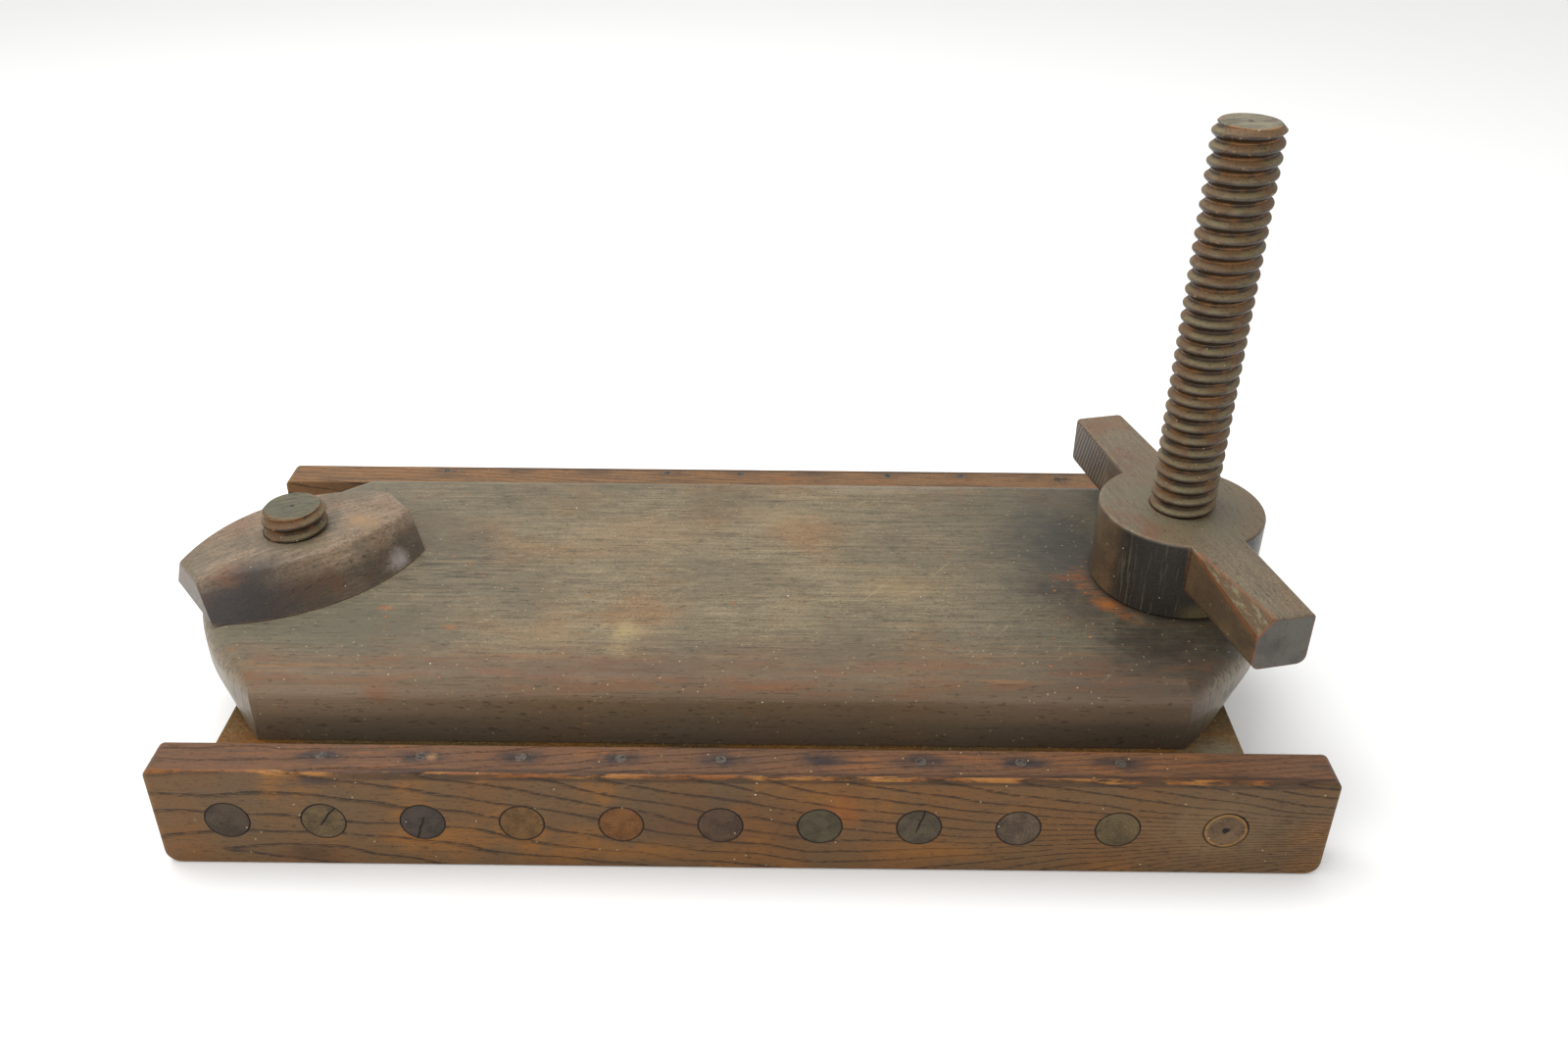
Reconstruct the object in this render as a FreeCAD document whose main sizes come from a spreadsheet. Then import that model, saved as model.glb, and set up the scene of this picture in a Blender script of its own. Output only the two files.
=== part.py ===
import math
import os
import re

import FreeCAD
import Part
import Sketcher

# A wooden bookbinding press. A thick bed lies between two rails that stand up at its edges, held
# by turned pegs. Two fixed wooden screws rise from the bed, and the nuts on them drive the platen.
# Millimetres. X runs along the rails, Y from front to rear, Z up. The origin is the centre of the
# bed's underside, which is flush with the undersides of the rails.

DIMENSIONS = {
    "frame_depth": 318.6,           # over both rails
    "rail_length": 602.0,
    "rail_height": 62.6,
    "rail_thickness": 23.2,
    "rail_corner": 8.0,             # rounding of the lower corners of a rail
    "rail_top_corner": 4.5,
    "rail_arris": 1.6,              # wear along the long upper edges
    "front_rail_shift": 8.0,        # the two rails are alike, but one is turned end for end
    "rear_rail_shift": -12.5,
    "bed_length": 550.0,
    "bed_thickness": 43.0,
    "peg_pitch": 50.8,
    "peg_row_shift": -3.0,
    "peg_height": 30.3,             # peg centres above the underside
    "peg_head": 23.0,
    "peg_shank": 16.0,
    "peg_gap": 0.3,                 # shrinkage gap round a peg head
    "peg_reach": 50.0,              # shank inside the bed
    "pin_past_screw": 30.0,         # how far the long pins pass the screws' centre line
    "nail_shank": 2.2,
    "nail_head": 5.4,
    "nail_head_height": 1.0,
    "front_nail_inset": 13.5,       # from the rail's outer face
    "rear_nail_inset": 7.0,
    "wood_screw_place": 217.8,
    "wood_screw_inset": 9.9,
    "wood_screw_head": 10.0,
    "wood_screw_head_height": 3.0,
    "wood_screw_shank": 4.6,
    "wood_screw_length": 36.0,
    "wood_screw_slot": 1.3,
    "wood_screw_slot_depth": 1.2,
    "screw_spacing": 511.0,
    "screw_foot": 28.0,             # tenon through the bed
    "left_screw_top": 123.5,
    "right_screw_top": 348.5,
    "screw_top_chamfer": 3.0,       # just past the root, so the groove runs out through it
    "thread_crest": 36.5,           # diameter over the crests
    "thread_pitch": 7.58,
    "thread_land": 0.3,             # flat along a crest
    "thread_root": 0.6,             # flat along a root
    "thread_round": 1.4,            # radius between a crest and its flanks
    "thread_flank": 47.0,           # degrees between a flank and the screw's axis
    "thread_start": 47.6,           # height of the lowest groove
    "thread_clearance": 0.35,
    "nut_bore_step": 1.0,           # a nut's bore is this much wider than the root, on the radius
    "platen_gap": 0.3,              # platen above the bed
    "platen_thickness": 39.2,
    "platen_edge_length": 497.0,    # straight long edges
    "platen_edge_shift": 4.8,       # the front one lies this far to the left, the rear one right
    "platen_length": 628.0,         # over the pointed ends
    "platen_width": 222.0,
    "platen_end_radius": 185.0,
    "platen_hole": 39.5,
    "platen_top_round": 12.0,
    "platen_undercut": 17.0,        # height below which the ends slope inwards
    "platen_undercut_tip": 14.0,    # how far the slope goes in at the tips
    "left_nut_gap": 0.4,
    "left_nut_height": 26.2,
    "left_nut_radius": 108.0,       # arcs of the lens shape at its base
    "left_nut_width": 98.0,
    "left_nut_length": 128.0,
    "left_nut_taper": 30.0,
    "left_nut_round": 4.5,
    "left_nut_crown": 520.0,        # radius of its top, which falls towards both ends
    "left_nut_turn": 39.0,
    "wing_nut_gap": 1.0,
    "wing_nut_height": 46.8,
    "wing_hub": 93.0,
    "wing_span": 231.0,
    "wing_root": 34.5,
    "wing_tip": 31.0,
    "wing_thickness": 30.5,
    "wing_round": 3.5,              # upright corners of the rear arm
    "wing_under_round": 5.0,        # lower edges of the arms
    "wing_arris": 2.0,
    "wing_bevel_start": 50.0,       # from the screw's centre line, along the front arm
    "wing_bevel_width": 7.0,        # at the arm's end
    "wing_bevel_height": 9.5,
    "wing_turn": 13.5,
}

PEGS = range(-4, 5)                     # nine nailed pegs between the screws
FRONT_NAILED = [-4, -3, -2, -1, 0, 2, 3, 4]
REAR_NAILED = [-4, -1, 0, 2, 3]
SIDES = {"left": -1, "right": 1}
FIRST_ROW = 2                           # the sheet's first row holds its headings
START, END, CENTRE = 1, 2, 3            # how a sketch numbers the points of a side
NEAR = 1e-3                             # mm, lengths this close are equal

doc = FreeCAD.newDocument("bookbinding_press")


def make_sheet():
    """Puts each driving dimension in the sheet under its own alias."""
    sheet = doc.addObject("Spreadsheet::Sheet", "Dimensions")
    sheet.set("A1", "dimension")
    sheet.set("B1", "mm or degrees")
    for row, (word, number) in enumerate(DIMENSIONS.items(), start=FIRST_ROW):
        sheet.set(f"A{row}", word)
        sheet.set(f"B{row}", str(number))
        sheet.setAlias(f"B{row}", word)
    doc.recompute()
    return sheet


sheet = make_sheet()


def formula(text):
    """Turns a formula in the sheet's words into one the document understands."""
    return re.sub(r"[a-z]+(?:_[a-z]+)+", lambda word: "Dimensions." + word.group(), text)


def number(text):
    """The present value of a formula in the sheet's words."""
    result = sheet.evalExpression(formula(text))
    return float(getattr(result, "Value", result))


# ---- sketches and features --------------------------------------------------------------------

def new_body(label, x="0", y="0", turn="0"):
    """A body whose place and turn about Z follow the sheet."""
    body = doc.addObject("PartDesign::Body", label)
    body.Label = label
    body.Placement.Rotation = FreeCAD.Rotation(FreeCAD.Vector(0, 0, 1), 0)
    body.setExpression("Placement.Base.x", formula(x))
    body.setExpression("Placement.Base.y", formula(y))
    body.setExpression("Placement.Rotation.Angle", formula(turn))
    return body


def new_sketch(body, role, offset="0"):
    """A sketch on one of the body's origin planes, moved along that plane's normal."""
    plane = next(p for p in body.Origin.OriginFeatures if p.Role == role)
    sketch = body.newObject("Sketcher::SketchObject", body.Name + "_sketch")
    sketch.AttachmentSupport = [(plane, "")]
    sketch.MapMode = "FlatFace"
    sketch.setExpression("AttachmentOffset.Base.z", formula(offset))
    return sketch


def fix_point(sketch, geometry, point, x, y):
    """Ties a point of a sketch to a place given by two formulas."""
    for kind, axis, text in (("DistanceX", -2, x), ("DistanceY", -1, y)):
        if text == "0":
            sketch.addConstraint(Sketcher.Constraint("PointOnObject", geometry, point, axis))
        else:
            index = sketch.addConstraint(
                Sketcher.Constraint(kind, -1, 1, geometry, point, number(text)))
            sketch.setExpression(f"Constraints[{index}]", formula(text))


def add_side(sketch, start, end, radius):
    """Adds one side of an outline and returns its index. An arc has its centre to the left of
    the way from start to end."""
    if radius is None:
        return sketch.addGeometry(Part.LineSegment(start, end))
    chord = end - start
    size = number(radius)
    rise = math.sqrt(size ** 2 - (chord.Length / 2) ** 2)
    left = FreeCAD.Vector(-chord.y, chord.x, 0).normalize()
    centre = (start + end) / 2 + left * rise
    first = math.atan2(start.y - centre.y, start.x - centre.x)
    last = math.atan2(end.y - centre.y, end.x - centre.x)
    circle = Part.Circle(centre, FreeCAD.Vector(0, 0, 1), size)
    index = sketch.addGeometry(Part.ArcOfCircle(circle, first, last))
    tie = sketch.addConstraint(Sketcher.Constraint("Radius", index, size))
    sketch.setExpression(f"Constraints[{tie}]", formula(radius))
    return index


def add_outline(sketch, corners, arcs=()):
    """A closed outline through corners given as formulas. arcs maps a side's number to its
    radius; the other sides are straight."""
    arcs = dict(arcs)
    places = [FreeCAD.Vector(number(x), number(y), 0) for x, y in corners]
    ends = places[1:] + places[:1]
    sides = [add_side(sketch, start, end, arcs.get(side))
             for side, (start, end) in enumerate(zip(places, ends))]
    for here, following in zip(sides, sides[1:] + sides[:1]):
        sketch.addConstraint(Sketcher.Constraint("Coincident", here, END, following, START))
    for index, (x, y) in zip(sides, corners):
        fix_point(sketch, index, START, x, y)


def add_rectangle(sketch, left, right, low, high):
    """A rectangle between two places across and two places up."""
    add_outline(sketch, [(left, low), (right, low), (right, high), (left, high)])


def add_circles(sketch, centres, diameter):
    """Circles of one diameter at places given as formulas."""
    for x, y in centres:
        centre = FreeCAD.Vector(number(x), number(y), 0)
        circle = Part.Circle(centre, FreeCAD.Vector(0, 0, 1), number(diameter) / 2)
        index = sketch.addGeometry(circle)
        fix_point(sketch, index, CENTRE, x, y)
        tie = sketch.addConstraint(Sketcher.Constraint("Diameter", index, number(diameter)))
        sketch.setExpression(f"Constraints[{tie}]", formula(diameter))


def pad(body, sketch, length, taper=None):
    """Raises a sketch into a solid, with sloping sides when a taper is given."""
    feature = body.newObject("PartDesign::Pad", body.Name + "_pad")
    feature.Profile = sketch
    feature.setExpression("Length", formula(length))
    if taper:
        feature.setExpression("TaperAngle", formula(taper))
    doc.recompute()


def must_be_smaller(body, before):
    """Stops if a cut has left the body as it was."""
    doc.recompute()
    if body.Shape.Volume > before - NEAR:
        raise RuntimeError(f"a cut in {body.Label} removes nothing")


def pocket(body, sketch, length=None, backwards=False):
    """Cuts a sketch to a length, or right through both ways when no length is given."""
    before = body.Shape.Volume
    feature = body.newObject("PartDesign::Pocket", body.Name + "_pocket")
    feature.Profile = sketch
    if length is None:
        feature.Type = "ThroughAll"
        feature.SideType = "Symmetric"
    else:
        feature.setExpression("Length", formula(length))
        feature.Reversed = backwards
    must_be_smaller(body, before)


def soften(body, kind, size, chosen):
    """Rounds or chamfers the edges that chosen accepts."""
    doc.recompute()
    tip = body.Tip
    names = [f"Edge{i}" for i, edge in enumerate(tip.Shape.Edges, start=1) if chosen(edge)]
    if not names:
        raise RuntimeError(f"no edge of {body.Label} to soften")
    feature = body.newObject("PartDesign::" + kind, body.Name + "_" + kind.lower())
    feature.Base = (tip, names)
    feature.setExpression("Radius" if kind == "Fillet" else "Size", formula(size))
    doc.recompute()


def level(edge, height):
    """Whether an edge lies flat at a height."""
    box = edge.BoundBox
    return abs(box.ZMin - height) < NEAR and abs(box.ZMax - height) < NEAR


def along(edge, axis):
    """Whether a straight edge runs along an axis, given as a letter."""
    box = edge.BoundBox
    lengths = {"x": box.XLength, "y": box.YLength, "z": box.ZLength}
    return all(size < NEAR for name, size in lengths.items() if name != axis)


# ---- frame ------------------------------------------------------------------------------------

def peg_places():
    """Where the nailed pegs lie along X."""
    return {i: f"peg_row_shift + ({i}) * peg_pitch" for i in PEGS}


def end_place(side):
    """Where a screw and its pin lie along X."""
    return f"({SIDES[side]}) * screw_spacing / 2"


def make_rail(label, shift, seat, front, inset, nailed):
    """A rail on edge, from local y = -rail_thickness to 0, with its peg and nail holes."""
    body = new_body(label, x=shift, y=seat)
    half = "rail_length / 2"
    profile = new_sketch(body, "XZ_Plane")
    add_rectangle(profile, f"-{half}", half, "0", "rail_height")
    pad(body, profile, "rail_thickness")

    places = list(peg_places().values()) + [end_place(side) for side in SIDES]
    holes = new_sketch(body, "XZ_Plane")
    add_circles(holes, [(f"{x} - {shift}", "peg_height") for x in places],
                "peg_head + 2 * peg_gap")
    pocket(body, holes, "rail_thickness", backwards=True)

    nail_y = f"{inset} - rail_thickness" if front else f"-({inset})"
    centres = [(f"{peg_places()[i]} - {shift}", nail_y) for i in nailed]
    for diameter, depth in (("nail_head", "nail_head_height"),
                            ("nail_shank", "rail_height - peg_height")):
        nails = new_sketch(body, "XY_Plane", "rail_height")
        add_circles(nails, centres, diameter)
        pocket(body, nails, depth)
    return body


def soften_rail(body):
    """Rounds the four corners, then wears the long upper edges."""
    top = number("rail_height")
    half = number("rail_length / 2")
    for height, radius in ((0, "rail_corner"), (top, "rail_top_corner")):
        soften(body, "Fillet", radius,
               lambda e: along(e, "y") and level(e, height) and abs(e.CenterOfMass.x) > half - NEAR)
    soften(body, "Fillet", "rail_arris",
           lambda e: along(e, "x") and level(e, top) and e.Length > half)


def make_front_rail():
    """The rail nearest the hand."""
    body = make_rail("front_rail", "front_rail_shift", "rail_thickness - frame_depth / 2",
                     True, "front_nail_inset", FRONT_NAILED)
    soften_rail(body)


def make_rear_rail():
    """The rear rail, which also has a hole for a wood screw."""
    body = make_rail("rear_rail", "rear_rail_shift", "frame_depth / 2",
                     False, "rear_nail_inset", REAR_NAILED)
    place = ("wood_screw_place - rear_rail_shift", "-(wood_screw_inset)")
    for diameter, depth in (("wood_screw_head", "wood_screw_head_height"),
                            ("wood_screw_shank", "wood_screw_length")):
        hole = new_sketch(body, "XY_Plane", "rail_height")
        add_circles(hole, [place], diameter)
        pocket(body, hole, depth)
    soften_rail(body)


def make_bed():
    """The bed, with blind peg holes in both long edges and holes for the screws' feet."""
    body = new_body("bed_board")
    depth = "(frame_depth / 2 - rail_thickness)"
    base = new_sketch(body, "XY_Plane")
    add_rectangle(base, "-bed_length / 2", "bed_length / 2", f"-{depth}", depth)
    pad(body, base, "bed_thickness")

    feet = new_sketch(body, "XY_Plane")
    add_circles(feet, [(end_place(side), "0") for side in SIDES], "screw_foot")
    pocket(body, feet)

    pegs = [(x, "peg_height") for x in peg_places().values()]
    pins = [(end_place(side), "peg_height") for side in SIDES]
    pin_reach = f"{depth} + pin_past_screw"
    for offset, centres, reach, backwards in (
            (depth, pegs, "peg_reach", False), (depth, pins, pin_reach, False),
            (f"-{depth}", pegs + pins, "peg_reach", True)):
        holes = new_sketch(body, "XZ_Plane", offset)
        add_circles(holes, centres, "peg_shank")
        pocket(body, holes, reach, backwards)


def make_peg(label, x, front, reach, nail_inset=None):
    """A turned peg with its head in a rail and its shank in the bed. Local y runs inwards from
    the rail's outer face. A nailed peg has half a nail hole, down to its centre line."""
    if front:
        body = new_body(label, x=x, y="-frame_depth / 2")
    else:
        body = new_body(label, x=x, y="frame_depth / 2", turn="180")
    body.setExpression("Placement.Base.z", formula("peg_height"))
    profile = new_sketch(body, "XY_Plane")
    end = f"rail_thickness + {reach}"
    add_outline(profile, [("0", "0"), ("peg_head / 2", "0"), ("peg_head / 2", "rail_thickness"),
                          ("peg_shank / 2", "rail_thickness"), ("peg_shank / 2", end),
                          ("0", end)])
    turned = body.newObject("PartDesign::Revolution", body.Name + "_turned")
    turned.Profile = profile
    turned.ReferenceAxis = (profile, ["V_Axis"])
    turned.Angle = 360
    doc.recompute()
    if nail_inset:
        hole = new_sketch(body, "XY_Plane")
        add_circles(hole, [("0", nail_inset)], "nail_shank")
        pocket(body, hole, "peg_head", backwards=True)


def make_pegs():
    """Nailed pegs in both rails, plain pegs at the ends of the rear rail, and from the front two
    long pins that pass through the bed and the screws' feet."""
    for count, (i, x) in enumerate(peg_places().items(), start=2):
        make_peg(f"front_peg_{count:02d}", x, True, "peg_reach",
                 "front_nail_inset" if i in FRONT_NAILED else None)
        make_peg(f"rear_peg_{count:02d}", x, False, "peg_reach",
                 "rear_nail_inset" if i in REAR_NAILED else None)
    pin_reach = "frame_depth / 2 - rail_thickness + pin_past_screw"
    for side in SIDES:
        make_peg(f"{side}_screw_pin", end_place(side), True, pin_reach)
        make_peg(f"rear_{side}_end_peg", end_place(side), False, "peg_reach")


def make_cylinder(name, diameter, height, x, y, top):
    """A cylinder that hangs down from a height."""
    cylinder = doc.addObject("Part::Cylinder", name)
    cylinder.setExpression("Radius", formula(f"({diameter}) / 2"))
    cylinder.setExpression("Height", formula(height))
    cylinder.setExpression("Placement.Base.x", formula(x))
    cylinder.setExpression("Placement.Base.y", formula(y))
    cylinder.setExpression("Placement.Base.z", formula(f"{top} - ({height})"))
    return cylinder


def make_nails(label, y, nailed):
    """The row of nails that holds one rail's pegs, each from the rail's top to a peg's centre."""
    nails = []
    for i in nailed:
        x = peg_places()[i]
        head = make_cylinder("nail_head", "nail_head", "nail_head_height", x, y, "rail_height")
        shank = make_cylinder("nail_shank", "nail_shank", "rail_height - peg_height", x, y,
                              "rail_height")
        nail = doc.addObject("Part::Fuse", "nail")
        nail.Base = head
        nail.Tool = shank
        nails.append(nail)
    group = doc.addObject("Part::Compound", label)
    group.Label = label
    group.Links = nails


def make_wood_screw():
    """A slotted screw driven down into the rear rail."""
    x, y = "wood_screw_place", "frame_depth / 2 - wood_screw_inset"
    head = make_cylinder("wood_screw_head", "wood_screw_head", "wood_screw_head_height", x, y,
                         "rail_height")
    shank = make_cylinder("wood_screw_shank", "wood_screw_shank", "wood_screw_length", x, y,
                          "rail_height")
    blank = doc.addObject("Part::Fuse", "wood_screw_blank")
    blank.Base = head
    blank.Tool = shank
    slot = doc.addObject("Part::Box", "wood_screw_slot")
    slot.setExpression("Length", formula("wood_screw_head"))
    slot.setExpression("Width", formula("wood_screw_slot"))
    slot.setExpression("Height", formula("wood_screw_slot_depth"))
    slot.setExpression("Placement.Base.x", formula(f"{x} - wood_screw_head / 2"))
    slot.setExpression("Placement.Base.y", formula(f"{y} - wood_screw_slot / 2"))
    slot.setExpression("Placement.Base.z", formula("rail_height - wood_screw_slot_depth"))
    screw = doc.addObject("Part::Cut", "rear_rail_wood_screw")
    screw.Label = "rear_rail_wood_screw"
    screw.Base = blank
    screw.Tool = slot


# ---- screws and nuts --------------------------------------------------------------------------

# How far the round of a crest reaches along the screw and inwards, and what its flanks add.
ROUND_LENGTH = "(thread_round * sin(thread_flank))"
ROUND_DEPTH = "(thread_round - thread_round * cos(thread_flank))"
FLANK_LENGTH = f"((thread_pitch - thread_land - thread_root) / 2 - {ROUND_LENGTH})"
THREAD_DEPTH = f"({ROUND_DEPTH} + {FLANK_LENGTH} * tan(thread_flank))"
BORE_RADIUS = f"(thread_crest / 2 - {THREAD_DEPTH} + nut_bore_step)"
OVERSHOOT = "1"                         # cutters start this far outside the wood
NUT_GROOVE_TURNS = "3.5"                # from the screw's lowest groove to below the nuts
BEVEL_FIRST_SHARE = "0.02"              # a loft can't start from nothing
PLATEN_LOW = "(bed_thickness + platen_gap)"
PLATEN_TOP = "(bed_thickness + platen_gap + platen_thickness)"


def run_helix(body, corners, arcs, height):
    """Cuts a profile out of the body along a right-handed helix round its Z axis."""
    before = body.Shape.Volume
    profile = new_sketch(body, "XZ_Plane")
    add_outline(profile, corners, arcs)
    groove = body.newObject("PartDesign::SubtractiveHelix", body.Name + "_thread")
    groove.Profile = profile
    groove.ReferenceAxis = (profile, ["V_Axis"])
    groove.Mode = "pitch-height-angle"
    groove.setExpression("Pitch", formula("thread_pitch"))
    groove.setExpression("Height", formula(height))
    must_be_smaller(body, before)


def cut_outer_thread(body, height):
    """The groove of a screw, which leaves a ridge with straight flanks and a round crest."""
    outside = f"thread_crest / 2 + {OVERSHOOT}"
    low = "thread_start - (thread_pitch - thread_land) / 2"
    high = "thread_start + (thread_pitch - thread_land) / 2"
    shoulder = f"thread_crest / 2 - {ROUND_DEPTH}"
    root = f"thread_crest / 2 - {THREAD_DEPTH}"
    corners = [(outside, high), (outside, low), ("thread_crest / 2", low),
               (shoulder, f"{low} + {ROUND_LENGTH}"), (root, "thread_start - thread_root / 2"),
               (root, "thread_start + thread_root / 2"), (shoulder, f"{high} - {ROUND_LENGTH}"),
               ("thread_crest / 2", high)]
    run_helix(body, corners, {2: "thread_round", 6: "thread_round"}, height)


def cut_inner_thread(body, turn, height):
    """The groove of a nut, which clears the screw's ridge all round. A nut that is turned on its
    screw starts its groove that much further up."""
    ridge = f"thread_start + {NUT_GROOVE_TURNS} * thread_pitch + thread_pitch * {turn} / 360"
    radius = "(thread_round + thread_clearance)"
    outer = "(thread_crest / 2 + thread_clearance)"
    shoulder = f"({outer} - {radius} + {radius} * cos(thread_flank))"
    beside = f"(thread_land / 2 + {radius} * sin(thread_flank))"
    half = f"({beside} + ({shoulder} - {BORE_RADIUS}) / tan(thread_flank))"
    inside = f"{BORE_RADIUS} - {OVERSHOOT}"
    corners = [(inside, f"{ridge} - {half}"), (BORE_RADIUS, f"{ridge} - {half}"),
               (shoulder, f"{ridge} - {beside}"), (outer, f"{ridge} - thread_land / 2"),
               (outer, f"{ridge} + thread_land / 2"), (shoulder, f"{ridge} + {beside}"),
               (BORE_RADIUS, f"{ridge} + {half}"), (inside, f"{ridge} + {half}")]
    run_helix(body, corners, {2: radius, 4: radius}, height)


def make_screw(label, side, top):
    """A fixed screw: a tenon through the bed, crossed by its pin, and the thread above it."""
    body = new_body(label, x=end_place(side))
    foot = new_sketch(body, "XY_Plane")
    add_circles(foot, [("0", "0")], "screw_foot")
    pad(body, foot, "bed_thickness")
    shank = new_sketch(body, "XY_Plane", "bed_thickness")
    add_circles(shank, [("0", "0")], "thread_crest")
    pad(body, shank, f"{top} - bed_thickness")
    pin_hole = new_sketch(body, "XZ_Plane")
    add_circles(pin_hole, [("0", "peg_height")], "peg_shank")
    pocket(body, pin_hole)
    soften(body, "Chamfer", "screw_top_chamfer", lambda edge: level(edge, number(top)))
    cut_outer_thread(body, f"{top} - thread_start + thread_pitch")


def loft(body, kind, first, last):
    """Adds or cuts a solid with straight sides between two sketches."""
    feature = body.newObject(f"PartDesign::{kind}Loft", body.Name + "_loft")
    feature.Profile = first
    feature.Sections = [last]
    feature.Ruled = True
    doc.recompute()


def platen_outline(body, height, tip):
    """The platen's outline at a height: straight long edges, and pointed ends with curved sides."""
    outline = new_sketch(body, "XY_Plane", height)
    width = "platen_width / 2"
    far = "platen_edge_length / 2 + platen_edge_shift"
    near = "platen_edge_length / 2 - platen_edge_shift"
    corners = [(f"-({far})", f"-{width}"), (near, f"-{width}"), (tip, "0"),
               (far, width), (f"-({near})", width), (f"-({tip})", "0")]
    add_outline(outline, corners, {side: "platen_end_radius" for side in (1, 2, 4, 5)})
    return outline


def make_platen():
    """The pressing board, with ends that slope inwards below, rounded upper edges and a clear
    hole over each screw."""
    body = new_body("platen")
    middle = f"{PLATEN_LOW} + platen_undercut"
    tip = "platen_length / 2"
    pad(body, platen_outline(body, middle, tip), "platen_thickness - platen_undercut")
    loft(body, "Additive", platen_outline(body, middle, tip),
         platen_outline(body, PLATEN_LOW, f"{tip} - platen_undercut_tip"))
    soften(body, "Fillet", "platen_top_round", lambda e: level(e, number(PLATEN_TOP)))
    holes = new_sketch(body, "XY_Plane")
    add_circles(holes, [(end_place(side), "0") for side in SIDES], "platen_hole")
    pocket(body, holes)


def make_left_nut():
    """The short nut: a lens with sloping sides whose two points are sawn off."""
    body = new_body("left_nut", x=end_place("left"), turn="left_nut_turn")
    low = f"{PLATEN_TOP} + left_nut_gap"
    middle = number(f"{low} + left_nut_height / 2")
    sag = "(left_nut_radius - left_nut_width / 2)"
    point = f"sqrt(left_nut_radius * left_nut_radius - {sag} * {sag})"
    lens = new_sketch(body, "XY_Plane", low)
    add_outline(lens, [(f"-{point}", "0"), (point, "0")],
                {0: "left_nut_radius", 1: "left_nut_radius"})
    pad(body, lens, "left_nut_height", taper="-left_nut_taper")
    for sign in ("-", ""):
        ends = new_sketch(body, "XY_Plane", low)
        sides = sorted([f"{sign}left_nut_length / 2", f"{sign}left_nut_length"], key=number)
        add_rectangle(ends, *sides, "-left_nut_width", "left_nut_width")
        pocket(body, ends, "left_nut_height", backwards=True)
    crown = new_sketch(body, "XZ_Plane")
    reach = "left_nut_length"
    edge = f"{low} + left_nut_height - left_nut_crown" \
           f" + sqrt(left_nut_crown * left_nut_crown - {reach} * {reach})"
    above = f"{low} + left_nut_height + {OVERSHOOT}"
    add_outline(crown, [(reach, edge), (f"-{reach}", edge), (f"-{reach}", above), (reach, above)],
                {0: "left_nut_crown"})
    pocket(body, crown)
    soften(body, "Fillet", "left_nut_round", lambda e: e.BoundBox.ZMin > middle)
    bore_and_thread(body, "left_nut_turn", "left_nut_height")


def bevel_front_arm(body, top):
    """A bevel along the front arm's left upper edge, which grows from nothing to its end."""
    start, end = "wing_bevel_start", f"(wing_span / 2 + {OVERSHOOT})"
    triangles = []
    for place, share in ((start, BEVEL_FIRST_SHARE), (end, "1")):
        side = f"(wing_root + (wing_tip - wing_root) * {place} / (wing_span / 2)) / 2"
        width = f"{share} * wing_bevel_width - ({side})"
        height = f"{top} - {share} * wing_bevel_height"
        triangle = new_sketch(body, "XZ_Plane", place)
        slope = f"wing_bevel_width / wing_bevel_height * {OVERSHOOT}"
        drop = f"wing_bevel_height / wing_bevel_width * {OVERSHOOT}"
        add_outline(triangle, [(f"-({side}) - {OVERSHOOT}", f"{height} - {drop}"),
                               (f"{width} + {slope}", f"{top} + {OVERSHOOT}"),
                               (f"-({side}) - {OVERSHOOT}", f"{top} + {OVERSHOOT}")])
        triangles.append(triangle)
    before = body.Shape.Volume
    loft(body, "Subtractive", *triangles)
    must_be_smaller(body, before)


def make_wing_nut():
    """The tall nut: a round hub with two arms flush with its top."""
    body = new_body("right_wing_nut", x=end_place("right"), turn="wing_turn")
    low = f"{PLATEN_TOP} + wing_nut_gap"
    hub = new_sketch(body, "XY_Plane", low)
    add_circles(hub, [("0", "0")], "wing_hub")
    pad(body, hub, "wing_nut_height")
    arms = new_sketch(body, "XY_Plane", f"{low} + wing_nut_height - wing_thickness")
    reach, root, tip = "wing_span / 2", "wing_root / 2", "wing_tip / 2"
    add_outline(arms, [(f"-{tip}", f"-{reach}"), (tip, f"-{reach}"), (root, "0"),
                       (tip, reach), (f"-{tip}", reach), (f"-{root}", "0")])
    pad(body, arms, "wing_thickness")
    under = number(f"{low} + wing_nut_height - wing_thickness")
    top = number(f"{low} + wing_nut_height")
    end = number(reach)
    soften(body, "Fillet", "wing_round", lambda e: along(e, "z") and e.CenterOfMass.y > end - NEAR)
    soften(body, "Fillet", "wing_under_round",
           lambda e: level(e, under) and e.Length > number("wing_tip"))
    soften(body, "Fillet", "wing_arris", lambda e: level(e, top))
    bevel_front_arm(body, f"{low} + wing_nut_height")
    bore_and_thread(body, "wing_turn", "wing_nut_height")


def bore_and_thread(body, turn, height):
    """The threaded hole of a nut."""
    bore = new_sketch(body, "XY_Plane")
    add_circles(bore, [("0", "0")], f"2 * {BORE_RADIUS}")
    pocket(body, bore)
    cut_inner_thread(body, turn, f"{height} + 2 * thread_pitch")


# ---- the whole press --------------------------------------------------------------------------

def check_document():
    """Stops if any object has failed."""
    doc.recompute()
    failed = [o.Name for o in doc.Objects if "Invalid" in o.State or "Error" in o.State]
    if failed:
        raise RuntimeError(f"failed objects: {failed}")


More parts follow.
